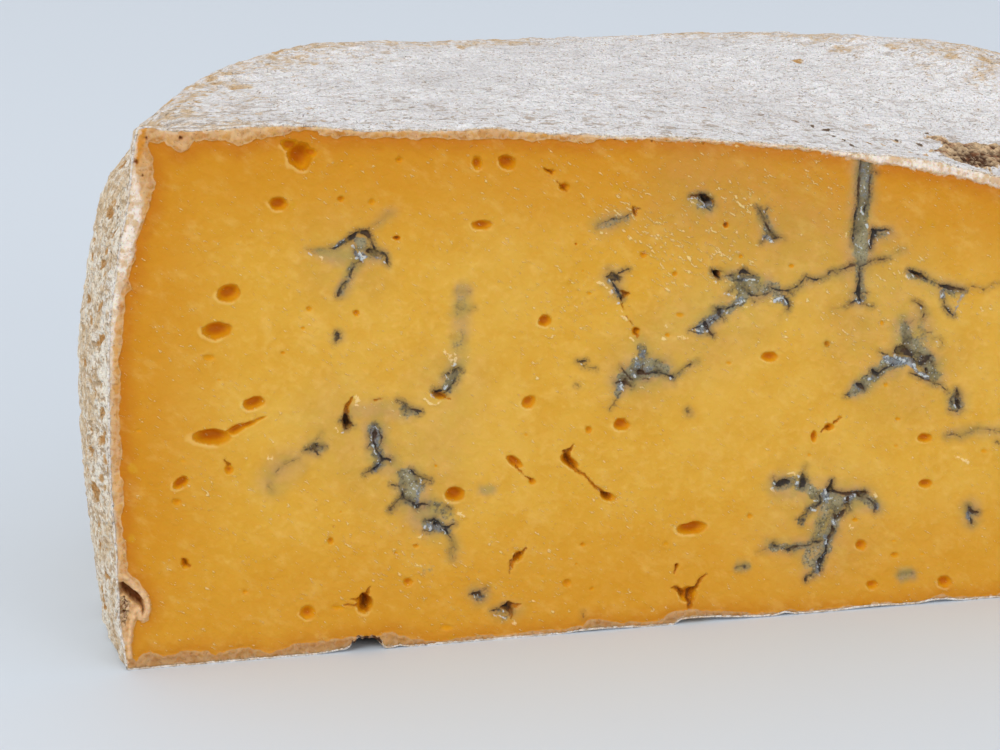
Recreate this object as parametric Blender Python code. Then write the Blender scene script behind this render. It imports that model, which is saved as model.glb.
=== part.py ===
"""A half wheel of blue cheese, cut side to the front.

The wheel is turned from a profile, let sag to the front right, and then cut upright by a knife a
little in front of its centre. The larger eyes that the knife opened and the chip broken out of the
rind's bottom edge are cut out of the front.

+X runs along the cut face to the right, the cut face looks along -Y and +Z is up. The origin is
in the middle of the piece, on the surface it stands on.
"""
import math

import bmesh
import bpy
from mathutils import Matrix, Vector

MM = 0.001

# The wheel
WHEEL_RADIUS = 103.0 * MM      # where the wall meets the base
WHEEL_HEIGHT = 88.0 * MM
WALL_BULGE = 1.75 * MM         # the wall swells outward by this much
BULGE_HEIGHT = 64.0 * MM       # height at which the swelling has gone back to nothing
LEAN_START = 54.0 * MM         # from here up the wall also leans inward
LEAN = 3.0 * MM                # how far it has leaned where it meets the top
LEAN_POWER = 1.5
EDGE_ROUND = 1.2 * MM          # small round between the wall and the top
FOOT_ROUND = 0.5 * MM          # small round between the wall and the base

# The sag of the top, from nothing at the left end of the cut to the most at the right end
SAG = 20.0 * MM
SAG_DEPTH = 80.0 * MM          # behind the cut the sag has died out at this distance

# The rim of the top is worn round, more so at the right end than at the left
RIM_DROP = (5.5 * MM, 11.0 * MM)
RIM_WIDTH = (16.0 * MM, 30.0 * MM)
RIM_FADE = 9.0 * MM            # at the left end of the cut the rim is sharp, and worn this far behind it

# The knife
CUT_OFFSET = 18.0 * MM         # distance of the cut in front of the wheel's centre

# The eyes that are open on the cut face: distance along the face from its left bottom corner,
# height, width, height of the eye and its tilt in degrees, all but the tilt in millimetres
EYES = (
    (29.4, 83.2, 6.2, 5.6, 10.0),
    (26.5, 75.8, 3.6, 2.3, 0.0),
    (63.7, 81.1, 3.4, 2.2, -25.0),
    (59.5, 70.9, 3.6, 1.7, 0.0),
    (18.2, 61.8, 4.2, 2.9, 20.0),
    (16.2, 55.9, 5.2, 2.8, 0.0),
    (21.8, 43.6, 3.9, 2.1, 18.0),
    (15.2, 38.5, 6.7, 2.8, 4.0),
    (9.7, 31.1, 3.2, 1.9, 35.0),
    (30.0, 7.4, 2.7, 2.4, 0.0),
    (39.5, 8.1, 3.2, 3.6, 0.0),
    (67.4, 40.9, 2.9, 2.3, 0.0),
    (54.9, 25.9, 3.5, 2.6, 0.0),
    (70.1, 54.5, 2.7, 2.2, 0.0),
    (83.4, 36.0, 2.9, 2.1, 0.0),
    (74.5, 30.1, 3.7, 2.0, -30.0),
    (81.2, 23.6, 3.0, 1.7, -20.0),
    (96.0, 16.9, 5.4, 2.3, 8.0),
    (109.2, 46.1, 3.0, 1.8, 0.0),
    (142.6, 3.9, 2.4, 2.2, 0.0),
)
EYE_DEPTH_RATIO = 0.45         # depth of an eye as a part of its width

# The chip broken out of the rind along the bottom of the cut
CHIP_ALONG = 39.5 * MM         # from the left bottom corner of the face
CHIP_WIDTH = 5.0 * MM
CHIP_HEIGHT = 1.6 * MM
CHIP_DEPTH = 4.0 * MM

# How finely the faceted solid is made
AROUND = 112
WALL_STEPS = 12
EDGE_STEPS = 3
TOP_RINGS = 9

# Worked out from the sizes above
HALF_WIDTH = WHEEL_RADIUS + WALL_BULGE
DEPTH = CUT_OFFSET + HALF_WIDTH
CUT_Y = -DEPTH / 2.0
CENTRE_Y = CUT_Y + CUT_OFFSET
HALF_CUT = math.sqrt(WHEEL_RADIUS ** 2 - CUT_OFFSET ** 2)
SAG_LENGTH = 2.0 * HALF_CUT


def wall_radius(height):
    """Radius of the wheel's wall at a height above the base."""
    bulge = WALL_BULGE * math.sin(math.pi * height / BULGE_HEIGHT)
    above = max(height - LEAN_START, 0.0) / (WHEEL_HEIGHT - LEAN_START)
    return WHEEL_RADIUS + bulge - LEAN * above ** LEAN_POWER


def smooth_step(value):
    """Rise from 0 to 1 with level ends."""
    value = min(max(value, 0.0), 1.0)
    return value * value * (3.0 - 2.0 * value)


def top_drop(x, y):
    """How far the top lies below the full height of the wheel at a place in plan."""
    along = min(max(x + HALF_CUT, 0.0), SAG_LENGTH) / SAG_LENGTH
    behind = max(y - CUT_Y, 0.0)
    sag = SAG * math.sin(0.5 * math.pi * along) ** 4 * (1.0 - smooth_step(behind / SAG_DEPTH))
    to_right = smooth_step(0.5 + 0.5 * x / WHEEL_RADIUS)
    width = RIM_WIDTH[0] + (RIM_WIDTH[1] - RIM_WIDTH[0]) * to_right
    drop = RIM_DROP[0] + (RIM_DROP[1] - RIM_DROP[0]) * to_right
    near_rim = (math.hypot(x, y - CENTRE_Y) - (WHEEL_RADIUS - width)) / width
    near_rim = min(max(near_rim, 0.0), 1.0)
    worn = drop * near_rim ** 2 * max(smooth_step(behind / RIM_FADE), to_right)
    return sag + worn


def wheel_profile():
    """Radius and height from the middle of the base, out, up the wall and in over the top."""
    points = [(0.0, 0.0), (0.5 * WHEEL_RADIUS, 0.0)]
    for step in range(EDGE_STEPS + 1):
        turn = 0.5 * math.pi * step / EDGE_STEPS
        radius = WHEEL_RADIUS - FOOT_ROUND * (1.0 - math.sin(turn))
        points.append((radius, FOOT_ROUND * (1.0 - math.cos(turn))))
    wall_top = WHEEL_HEIGHT - EDGE_ROUND
    for step in range(1, WALL_STEPS + 1):
        height = FOOT_ROUND + (wall_top - FOOT_ROUND) * step / WALL_STEPS
        points.append((wall_radius(height), height))
    edge_radius = wall_radius(wall_top) - EDGE_ROUND
    for step in range(1, EDGE_STEPS + 1):
        turn = 0.5 * math.pi * step / EDGE_STEPS
        points.append((edge_radius + EDGE_ROUND * math.cos(turn), wall_top + EDGE_ROUND * math.sin(turn)))
    for ring in range(1, TOP_RINGS):
        points.append((edge_radius * (1.0 - ring / TOP_RINGS) ** 1.25, WHEEL_HEIGHT))
    points.append((0.0, WHEEL_HEIGHT))
    return points


def new_object(name, mesh_data, material=None):
    """Put a mesh in the scene as an object of its own."""
    mesh = bpy.data.meshes.new(name)
    mesh_data.to_mesh(mesh)
    mesh_data.free()
    if material:
        mesh.materials.append(material)
    made = bpy.data.objects.new(name, mesh)
    bpy.context.scene.collection.objects.link(made)
    return made


def make_wheel(material):
    """Turn the profile about the wheel's upright axis and let the top sag."""
    body = bmesh.new()
    spine = [body.verts.new((radius, CENTRE_Y, height)) for radius, height in wheel_profile()]
    edges = [body.edges.new(pair) for pair in zip(spine, spine[1:])]
    bmesh.ops.spin(body, geom=spine + edges, cent=(0.0, CENTRE_Y, 0.0), axis=(0.0, 0.0, 1.0),
                   angle=2.0 * math.pi, steps=AROUND, use_duplicate=False)
    bmesh.ops.remove_doubles(body, verts=body.verts, dist=0.00001)
    bmesh.ops.recalc_face_normals(body, faces=body.faces)
    for vertex in body.verts:
        share = vertex.co.z / WHEEL_HEIGHT
        vertex.co.z -= share * top_drop(vertex.co.x, vertex.co.y)
    return new_object("cheese", body, material)


def make_cutter(name, mesh_data):
    """Put a cutting shape in the scene, out of sight of a render."""
    cutter = new_object(name, mesh_data)
    cutter.hide_render = True
    cutter.display_type = "WIRE"
    return cutter


def make_knife():
    """A block whose back side is the plane of the cut."""
    block = bmesh.new()
    size = Vector((3.0 * WHEEL_RADIUS, WHEEL_RADIUS, 2.0 * WHEEL_HEIGHT))
    place = Matrix.Translation((0.0, CUT_Y - 0.5 * size.y, 0.5 * WHEEL_HEIGHT))
    bmesh.ops.create_cube(block, size=1.0, matrix=place @ Matrix.Diagonal(size.to_4d()))
    return make_cutter("knife", block)


def make_eye(number, along, height, width, tall, tilt):
    """An oval hollow, half in the paste and half in front of the cut."""
    hollow = bmesh.new()
    bmesh.ops.create_uvsphere(hollow, u_segments=12, v_segments=8, radius=0.5)
    place = Matrix.Translation((along * MM - HALF_CUT, CUT_Y, height * MM))
    turn = Matrix.Rotation(math.radians(-tilt), 4, "Y")
    stretch = Vector((width * MM, 2.0 * EYE_DEPTH_RATIO * width * MM, tall * MM))
    bmesh.ops.transform(hollow, matrix=place @ turn @ Matrix.Diagonal(stretch.to_4d()), verts=hollow.verts)
    return make_cutter(f"eye_{number:02d}", hollow)


def make_chip():
    """The bite out of the bottom edge of the cut."""
    bite = bmesh.new()
    bmesh.ops.create_uvsphere(bite, u_segments=12, v_segments=8, radius=0.5)
    place = Matrix.Translation((CHIP_ALONG - HALF_CUT, CUT_Y, 0.0))
    stretch = Vector((CHIP_WIDTH, 2.0 * CHIP_DEPTH, 2.0 * CHIP_HEIGHT))
    bmesh.ops.transform(bite, matrix=place @ Matrix.Diagonal(stretch.to_4d()), verts=bite.verts)
    return make_cutter("chip", bite)


def cut_with(body, cutter):
    """Take a cutter's shape out of the body."""
    cut = body.modifiers.new(cutter.name, "BOOLEAN")
    cut.operation = "DIFFERENCE"
    cut.solver = "EXACT"
    cut.object = cutter


def make_material():
    """The orange paste of the cut face."""
    paste = bpy.data.materials.new("paste")
    paste.use_nodes = True
    shader = paste.node_tree.nodes["Principled BSDF"]
    shader.inputs["Base Color"].default_value = (0.68, 0.36, 0.05, 1.0)
    shader.inputs["Roughness"].default_value = 0.45
    shader.inputs["Metallic"].default_value = 0.0
    return paste


def main():
    for leftover in list(bpy.data.objects):
        bpy.data.objects.remove(leftover, do_unlink=True)
    cheese = make_wheel(make_material())
    cut_with(cheese, make_knife())
    for number, eye in enumerate(EYES, start=1):
        cut_with(cheese, make_eye(number, *eye))
    cut_with(cheese, make_chip())
    cheese.data.shade_smooth()
    cheese.data.set_sharp_from_angle(angle=math.radians(40.0))


main()
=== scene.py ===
"""The looks of a half wheel of blue cheese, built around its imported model.

Two closed meshes stand for the cheese: the paste, whose front is the cut face with its eyes and
veins, and the rind, a shell round the paste that shows as a pale band along the edge of the cut.
Lengths are in millimetres until a mesh is written. Along the cut face, "along" is the distance from
its left bottom corner and "up" is the height. Features of the cut face are placed by where they lie
in the photograph, in pixels of its 1000 x 750 frame, and carried onto the face by the camera.
"""
import math

import bpy
import numpy as np
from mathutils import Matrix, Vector
from mathutils.geometry import delaunay_2d_cdt


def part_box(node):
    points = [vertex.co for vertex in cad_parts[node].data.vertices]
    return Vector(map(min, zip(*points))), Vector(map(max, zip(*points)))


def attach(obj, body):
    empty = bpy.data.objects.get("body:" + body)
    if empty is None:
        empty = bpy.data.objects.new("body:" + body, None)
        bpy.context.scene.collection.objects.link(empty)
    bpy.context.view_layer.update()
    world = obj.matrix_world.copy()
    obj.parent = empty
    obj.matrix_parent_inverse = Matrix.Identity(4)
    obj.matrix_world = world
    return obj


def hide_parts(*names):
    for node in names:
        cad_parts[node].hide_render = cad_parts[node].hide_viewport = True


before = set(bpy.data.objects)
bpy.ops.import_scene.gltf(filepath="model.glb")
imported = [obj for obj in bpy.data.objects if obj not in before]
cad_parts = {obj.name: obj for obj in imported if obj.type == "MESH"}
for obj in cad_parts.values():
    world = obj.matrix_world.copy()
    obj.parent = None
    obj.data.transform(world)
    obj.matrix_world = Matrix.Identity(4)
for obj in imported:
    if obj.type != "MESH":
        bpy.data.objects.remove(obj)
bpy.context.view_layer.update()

# ---------------------------------------------------------------------------------------------
# Sizes
# ---------------------------------------------------------------------------------------------
MM = 0.001
low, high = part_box("cheese")
HALF_WIDTH = high.x / MM
DEPTH = (high.y - low.y) / MM
HEIGHT = high.z / MM
CUT_Y = low.y / MM
CUT_OFFSET = DEPTH - HALF_WIDTH
CENTRE_Y = CUT_Y + CUT_OFFSET
WALL_BULGE = 1.75
RADIUS = HALF_WIDTH - WALL_BULGE
HALF_CUT = math.sqrt(RADIUS ** 2 - CUT_OFFSET ** 2)
FACE_LENGTH = 2.0 * HALF_CUT

# The wall's profile, the sag and the worn rim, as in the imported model
BULGE_HEIGHT = 64.0
LEAN_START = 54.0
LEAN = 3.0
LEAN_POWER = 1.5
SAG = 20.0
SAG_DEPTH = 80.0
RIM_DROP = (5.5, 11.0)
RIM_WIDTH = (16.0, 30.0)
RIM_FADE = 9.0
EDGE_ROUND = 1.2
FOOT_ROUND = 0.5

# ---------------------------------------------------------------------------------------------
# The camera, fitted to the outline of the cut face
# ---------------------------------------------------------------------------------------------
PHOTO_WIDTH = 1000.0
PHOTO_HEIGHT = 750.0
FOCAL = 2725.0                  # in pixels
PITCH = math.radians(14.0356)   # the camera looks down by this much
YAW = math.radians(13.9351)     # and to the right of straight at the face by this much
CAMERA_AWAY = 420.743           # in front of the face
CAMERA_UP = 154.161
CAMERA_ALONG = -41.875          # from the face's left bottom corner
SENSOR = 36.0

camera_place = np.array([CAMERA_ALONG - HALF_CUT, CUT_Y - CAMERA_AWAY, CAMERA_UP])
camera_ahead = np.array([math.sin(YAW) * math.cos(PITCH), math.cos(YAW) * math.cos(PITCH), -math.sin(PITCH)])
camera_right = np.array([math.cos(YAW), -math.sin(YAW), 0.0])
camera_up = np.cross(camera_right, camera_ahead)


def to_photo(points):
    """Where points of the model, an array of x, y, z rows, appear in the photograph."""
    away = points - camera_place
    ahead = away @ camera_ahead
    across = 0.5 * PHOTO_WIDTH + FOCAL * (away @ camera_right) / ahead
    down = 0.5 * PHOTO_HEIGHT - FOCAL * (away @ camera_up) / ahead
    return np.stack([across, down], 1)


def to_face(pixels):
    """Where pixels of the photograph meet the plane of the cut, as rows of along, up."""
    pixels = np.asarray(pixels, float)
    across = (pixels[:, :1] - 0.5 * PHOTO_WIDTH) / FOCAL
    down = (pixels[:, 1:2] - 0.5 * PHOTO_HEIGHT) / FOCAL
    ray = camera_ahead + across * camera_right - down * camera_up
    hit = camera_place + ray * ((CUT_Y - camera_place[1]) / ray[:, 1:2])
    return np.stack([hit[:, 0] + HALF_CUT, hit[:, 2]], 1)


def face_to_photo(along, up):
    """Pixels of the photograph for places on the cut face."""
    points = np.stack([along - HALF_CUT, np.full_like(along, CUT_Y), up], 1)
    return to_photo(points)


# ---------------------------------------------------------------------------------------------
# Noise
# ---------------------------------------------------------------------------------------------
WORD = 0xFFFFFFFF
# Large odd numbers that spread the bits of small whole ones
SEED_FACTOR = 374761393
COLUMN_FACTORS = (2246822519, 3266489917, 668265263)
MIX_FACTOR = 2654435761


def hashed(cells, seed):
    """A repeatable number from 0 to 1 for each row of whole numbers."""
    mixed = np.full(len(cells), seed * SEED_FACTOR + COLUMN_FACTORS[2], np.uint32)
    for column, factor in zip(cells.T, COLUMN_FACTORS):
        mixed ^= (column.astype(np.int64) & WORD).astype(np.uint32) * np.uint32(factor)
        mixed = (mixed ^ (mixed >> np.uint32(15))) * np.uint32(MIX_FACTOR)
        mixed ^= mixed >> np.uint32(13)
    return mixed.astype(np.float64) / WORD


def noise(points, size, seed):
    """Smooth noise from -1 to 1 over rows of coordinates, with features about `size` across."""
    scaled = np.asarray(points, float) / size
    base = np.floor(scaled)
    part = scaled - base
    part = part * part * (3.0 - 2.0 * part)
    total = np.zeros(len(scaled))
    count = scaled.shape[1]
    for corner in range(2 ** count):
        step = np.array([(corner >> axis) & 1 for axis in range(count)])
        weight = np.prod(np.where(step, part, 1.0 - part), axis=1)
        total += weight * hashed((base + step).astype(np.int64), seed)
    return 2.0 * total - 1.0


def layered(points, size, seed, layers=3):
    """Several octaves of noise, about -1 to 1."""
    total = np.zeros(len(points))
    for layer in range(layers):
        total += noise(points, size / 2.0 ** layer, seed + layer) / 2.0 ** layer
    return total / (2.0 - 2.0 ** (1 - layers))


def wander(points, size, seed):
    """Two noises side by side, with which flat places are pushed about."""
    return np.stack([noise(points, size, seed), noise(points, size, seed + 1)], 1)


def neighbours(places, pitch):
    """The nine cells of a square grid round each place, one array of cells at a time."""
    cells = np.floor(places / pitch)
    for across in (-1, 0, 1):
        for upward in (-1, 0, 1):
            yield (cells + (across, upward)).astype(np.int64)


def smooth_step(low_edge, high_edge, value):
    """Rise from 0 to 1 between two edges, which may be given in either order."""
    part = np.clip((value - low_edge) / (high_edge - low_edge), 0.0, 1.0)
    return part * part * (3.0 - 2.0 * part)


# ---------------------------------------------------------------------------------------------
# The shape of the wheel
# ---------------------------------------------------------------------------------------------
def wall_radius(height):
    """Radius of the wall at heights above the base."""
    bulge = WALL_BULGE * np.sin(np.pi * height / BULGE_HEIGHT)
    above = np.maximum(height - LEAN_START, 0.0) / (HEIGHT - LEAN_START)
    return RADIUS + bulge - LEAN * above ** LEAN_POWER


def top_drop(x, y):
    """How far the top lies below the wheel's full height."""
    along = np.clip(x + HALF_CUT, 0.0, FACE_LENGTH) / FACE_LENGTH
    behind = np.maximum(y - CUT_Y, 0.0)
    sag = SAG * np.sin(0.5 * np.pi * along) ** 4 * (1.0 - smooth_step(0.0, 1.0, behind / SAG_DEPTH))
    to_right = smooth_step(0.0, 1.0, 0.5 + 0.5 * x / RADIUS)
    width = RIM_WIDTH[0] + (RIM_WIDTH[1] - RIM_WIDTH[0]) * to_right
    drop = RIM_DROP[0] + (RIM_DROP[1] - RIM_DROP[0]) * to_right
    near_rim = np.clip((np.hypot(x, y - CENTRE_Y) - (RADIUS - width)) / width, 0.0, 1.0)
    worn = drop * near_rim ** 2 * np.maximum(smooth_step(0.0, 1.0, behind / RIM_FADE), to_right)
    return sag + worn


# Outline of the cut face as the photograph shows it, in pixels
TOP_EDGE = (
    (139, 125), (157, 127), (175, 129), (206, 129), (242, 126), (284, 124), (318, 125), (362, 129),
    (400, 129), (457, 129), (496, 126), (534, 131), (563, 132), (591, 133), (610, 135), (640, 135),
    (700, 137), (748, 140.5), (796, 144.5), (834, 149), (850, 151), (864, 152.5), (891, 154), (910, 157),
    (939, 161), (968, 168), (1000, 176),
)
LEFT_EDGE = (
    (126, 670), (121, 640), (118, 617), (117, 595), (115.5, 575), (115, 550), (112.5, 520), (109.5, 485),
    (108, 452), (107.5, 418), (107.5, 377), (108.5, 330), (111, 307), (115, 280), (120, 243),
    (125, 221), (129.5, 190), (132, 165), (134.5, 144), (139, 125),
)
# Height in millimetres of the bottom edge above the table, by pixel: a chip, and small gaps
BOTTOM_GAPS = (
    (126, 0.0), (318, 0.0), (345, 0.45), (350, 0.7), (352.5, 1.7), (355, 1.5), (357.5, 2.3), (360, 2.5),
    (362.5, 2.0), (366, 2.4), (369, 2.05), (373, 2.3), (376, 1.75), (379, 1.9), (382, 1.0), (384, 0.15),
    (392, 0.1), (400, 0.35), (409, 0.0), (560, 0.0), (578, 0.25), (600, 0.3), (625, 0.2), (645, 0.0),
    (674, 0.0), (681, 0.8), (690, 0.9), (712, 0.8), (730, 0.5), (756, 0.15), (775, 0.1), (785, 0.5),
    (796, 0.1), (830, 0.0), (858, 0.25), (880, 0.35), (900, 0.15), (918, 0.1), (932, 0.5), (946, 0.5),
    (957, 0.1), (1000, 0.0),
)
# Where the rind's section ends and the paste starts
INNER_LEFT = (
    (136, 661), (131, 655), (130, 645), (133, 636), (134.5, 625), (137, 617.5), (142, 622), (148, 619.5),
    (151, 611), (151, 600), (144, 590), (136, 581), (128, 572), (126, 560), (123.5, 530), (122.5, 485),
    (121, 441), (121, 396), (119.5, 365), (122, 336), (124.8, 307), (124.5, 297), (132, 289), (128.5, 279),
    (135, 260), (136.5, 243.5), (141.2, 224), (149.9, 205), (154.6, 183), (152.7, 161), (149, 150),
)
INNER_TOP = (
    (148, 141), (153, 142), (159, 143.5), (165, 140), (168, 145), (174, 151), (182, 152), (190, 149),
    (195, 142), (205, 141), (225, 140), (238, 146), (247, 143), (262, 139), (284, 134), (292, 130.5),
    (312, 131), (322, 136), (340, 137.5), (356, 136), (372, 139), (385, 138), (400, 139), (457, 138),
    (490, 138), (520, 139), (550, 141), (575, 141), (592, 143), (605, 139), (620, 140), (640, 139.5),
    (665, 141), (700, 141.5), (745, 145), (790, 149.5), (830, 154), (850, 157), (870, 163), (890, 165),
    (910, 168), (930, 172), (950, 175), (975, 182), (1000, 189),
)
INNER_BOTTOM = (
    (143, 653), (150, 651), (160, 655.5), (170, 656), (186, 650.5), (209, 650.5), (216, 655),
    (226, 649.5), (243, 648.5), (262, 651.5), (287, 650.5), (295, 645), (314, 643), (339, 639),
    (352, 637), (366, 638.5), (381, 633.5), (392, 631.5), (406, 637), (419, 640.5), (438, 642),
    (457, 638.5), (469, 637), (500, 634.5), (540, 631), (570, 627), (583, 625), (590, 620.5),
    (597, 619.5), (611, 620), (619, 624), (628, 622), (640, 621), (660, 620), (668, 616), (674, 612.5),
    (682, 612), (690, 610), (730, 612), (756, 613.5), (780, 611), (790, 608.5), (797, 611.5),
    (830, 608.5), (880, 605), (920, 602), (933, 597), (944, 594), (955, 598), (1000, 594.5),
)
# Width in millimetres of the white crust along the section's left edge, by height
CRUST_LEFT = (
    (0.0, 0.35), (40.0, 0.45), (50.0, 0.8), (58.0, 1.0), (64.0, 1.3), (68.0, 2.2), (74.0, 2.6), (77.5, 2.3),
    (80.0, 1.3), (83.0, 0.4), (90.0, 0.35),
)
# The same along the top, by pixel
CRUST_TOP = (
    (139, 0.45), (560, 0.4), (640, 0.6), (700, 0.6), (830, 0.8), (870, 1.5), (900, 2.0), (1000, 2.1),
    (1200, 0.8),
)
BAND_RIGHT = 2.1                # the section's thickness where the photograph doesn't show it
TOP_EDGE_FADE = 22.0            # beyond the photograph the top edge goes over to the model's own

top_edge = to_face(TOP_EDGE)
left_edge = to_face(LEFT_EDGE)


def table(rows, place):
    """Straight-line values between the rows of a small table."""
    rows = np.array(rows)
    return np.interp(place, rows[:, 0], rows[:, 1])


def own_top(along):
    """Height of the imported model's top edge at the cut."""
    return HEIGHT - top_drop(along - HALF_CUT, np.full_like(along, CUT_Y))


def cut_top(along):
    """Height of the top edge of the cut."""
    end = top_edge[-1]
    gap_at_end = end[1] - own_top(end[:1])[0]
    beyond = smooth_step(end[0] + TOP_EDGE_FADE, end[0], along)
    seen = np.interp(along, top_edge[:, 0], top_edge[:, 1])
    return np.where(along <= end[0], seen, own_top(along) + gap_at_end * beyond)


def own_left(up):
    """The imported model's left edge at the cut."""
    return HALF_CUT - np.sqrt(wall_radius(up) ** 2 - CUT_OFFSET ** 2)


def cut_left(up):
    """Distance of the cut's left edge from the left bottom corner, as a function of height."""
    return np.interp(up, left_edge[:, 1], left_edge[:, 0])


def cut_right(up):
    """The cut's right edge, which the photograph doesn't show."""
    return HALF_CUT + np.sqrt(wall_radius(up) ** 2 - CUT_OFFSET ** 2)


def cut_bottom(along):
    """Height of the cut's bottom edge above the table."""
    base = face_to_photo(along, np.zeros_like(along))[:, 0]
    return table(BOTTOM_GAPS, base)


def inner_outline():
    """The line between section and paste, clockwise from the left bottom corner, on the face."""
    left = to_face(INNER_LEFT)
    top = to_face(INNER_TOP)
    bottom = to_face(INNER_BOTTOM)[::-1]
    along = np.arange(top[-1, 0] + 4.0, FACE_LENGTH - 2.5, 4.0)
    start_gap = cut_top(top[-1:, 0])[0] - top[-1, 1]
    top_more = np.stack([along, cut_top(along) - start_gap], 1)
    up = np.arange(top_more[-1, 1] - 2.0, 2.0, -4.0)
    right = np.stack([cut_right(up) - BAND_RIGHT, up], 1)
    bottom_more = np.stack([along[::-1], np.full_like(along, bottom[0, 1])], 1)
    return np.concatenate([left, top, top_more, right, bottom_more, bottom])


def distance_to_line(points, line, closed=False):
    """Distance of each point from a chain of straight pieces."""
    ends = np.roll(line, -1, 0) if closed else line[1:]
    starts = line if closed else line[:-1]
    nearest = np.full(len(points), 1e9)
    for start, end in zip(starts, ends):
        run = end - start
        part = np.clip(((points - start) @ run) / max(run @ run, 1e-9), 0.0, 1.0)
        gap = points - start - part[:, None] * run
        nearest = np.minimum(nearest, np.hypot(gap[:, 0], gap[:, 1]))
    return nearest


def inside(points, line):
    """Whether each point lies inside a closed chain."""
    result = np.zeros(len(points), bool)
    for start, end in zip(line, np.roll(line, -1, 0)):
        if start[1] == end[1]:
            continue
        crosses = (points[:, 1] < start[1]) != (points[:, 1] < end[1])
        at = start[0] + (points[:, 1] - start[1]) * (end[0] - start[0]) / (end[1] - start[1])
        result ^= crosses & (points[:, 0] < at)
    return result


def signed_distance(points, line):
    """Distance from a closed chain, positive inside."""
    return distance_to_line(points, line, closed=True) * np.where(inside(points, line), 1.0, -1.0)


def stroke_gaps(pixels, points, margin):
    """Distance in pixels from a line of varying half width, and that half width there."""
    gap = np.full(len(pixels), 99.0)
    half = np.ones(len(pixels))
    for (x0, y0, w0), (x1, y1, w1) in zip(points[:-1], points[1:]):
        near = np.flatnonzero(
            (pixels[:, 0] > min(x0, x1) - margin) & (pixels[:, 0] < max(x0, x1) + margin)
            & (pixels[:, 1] > min(y0, y1) - margin) & (pixels[:, 1] < max(y0, y1) + margin))
        if len(near) == 0:
            continue
        run = np.array([x1 - x0, y1 - y0], float)
        away = pixels[near] - (x0, y0)
        part = np.clip((away @ run) / max(run @ run, 1e-6), 0.0, 1.0)
        here = np.hypot(*(away - part[:, None] * run).T)
        wide = w0 + (w1 - w0) * part
        closer = here - wide < gap[near] - half[near]
        gap[near[closer]] = here[closer]
        half[near[closer]] = wide[closer]
    return gap, half


def line_depth(pixels, points):
    """Depth of each place inside a line of varying half width, in pixels, negative outside."""
    gap, half = stroke_gaps(pixels, points, margin=16.0)
    return half - gap


# ---------------------------------------------------------------------------------------------
# Meshes
# ---------------------------------------------------------------------------------------------
class Pool:
    """Vertices, triangles and per-vertex values of one piece, gathered patch by patch."""

    def __init__(self, names):
        self.points = []
        self.values = {name: [] for name in names}
        self.triangles = []
        self.count = 0

    def add(self, points, **values):
        """Adds rows of points and returns their numbers. A value that isn't given is 0."""
        self.points.append(points)
        for name, column in self.values.items():
            column.append(np.broadcast_to(values.get(name, 0.0), len(points)).astype(float))
        self.count += len(points)
        return np.arange(self.count - len(points), self.count)

    def face(self, triangles):
        """Adds rows of three point numbers."""
        self.triangles.append(np.asarray(triangles, int).reshape(-1, 3))

    def mesh(self, name):
        """Makes the object, in metres, shaded smooth."""
        points = np.concatenate(self.points) * MM
        triangles = np.concatenate(self.triangles)
        data = bpy.data.meshes.new(name)
        data.vertices.add(len(points))
        data.vertices.foreach_set("co", points.astype(np.float32).ravel())
        data.loops.add(triangles.size)
        data.loops.foreach_set("vertex_index", triangles.astype(np.int32).ravel())
        data.polygons.add(len(triangles))
        data.polygons.foreach_set("loop_start", np.arange(0, triangles.size, 3, dtype=np.int32))
        data.update(calc_edges=True)
        for label, column in self.values.items():
            attribute = data.attributes.new(label, "FLOAT", "POINT")
            attribute.data.foreach_set("value", np.concatenate(column).astype(np.float32))
        data.shade_smooth()
        piece = bpy.data.objects.new(name, data)
        bpy.context.scene.collection.objects.link(piece)
        return piece


def fill(edge_ids, edge_places, inner_ids, inner_places, flip):
    """Triangles over a flat patch: its closed edge, in order, and the points within."""
    places = np.concatenate([edge_places, inner_places])
    ids = np.concatenate([edge_ids, inner_ids])
    points = [Vector(place) for place in places.tolist()]
    outline = [list(range(len(edge_ids)))]
    made = delaunay_2d_cdt(points, [], outline, 1, 1e-6)
    back = np.array([ids[source[0]] for source in made[3]])
    triangles = back[np.array(made[2])]
    return triangles[:, ::-1] if flip else triangles


LATTICE_ROW = 0.866             # gap between rows, against the spacing within a row
LATTICE_JITTER = 0.36           # how far a point is shaken at most, against the spacing


def lattice(low_corner, high_corner, spacing, seed):
    """Staggered rows of points over a rectangle, slightly shaken. Also their row and column."""
    rows = np.arange(0, int((high_corner[1] - low_corner[1]) / (spacing * LATTICE_ROW)) + 1)
    columns = np.arange(0, int((high_corner[0] - low_corner[0]) / spacing) + 1)
    column, row = np.meshgrid(columns, rows)
    column = column.ravel()
    row = row.ravel()
    places = np.stack([low_corner[0] + (column + 0.5 * (row % 2)) * spacing,
                       low_corner[1] + row * LATTICE_ROW * spacing], 1)
    cells = np.stack([column, row], 1)
    shake = np.stack([hashed(cells, seed), hashed(cells, seed + 1)], 1) - 0.5
    return places + LATTICE_JITTER * spacing * shake, column, row


def graded(low_corner, high_corner, spacing, levels, seed):
    """Lattice points thinned out where `levels` says so: 0 keeps all, 1 every second, 2 every fourth."""
    places, column, row = lattice(low_corner, high_corner, spacing, seed)
    wanted = levels(places)
    keep = wanted <= 0
    keep |= (wanted == 1) & (row % 2 == 0) & ((column + (row // 2) % 2) % 2 == 0)
    keep |= (wanted >= 2) & (row % 4 == 0) & ((column + 2 * ((row // 4) % 2)) % 4 == 0)
    return places[keep]


def strip(first, second, flip):
    """Triangles between two closed rings with the same number of points."""
    after = np.roll(np.arange(len(first)), -1)
    one = np.stack([first, first[after], second[after]], 1)
    two = np.stack([first, second[after], second], 1)
    triangles = np.concatenate([one, two])
    return triangles[:, ::-1] if flip else triangles


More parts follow.
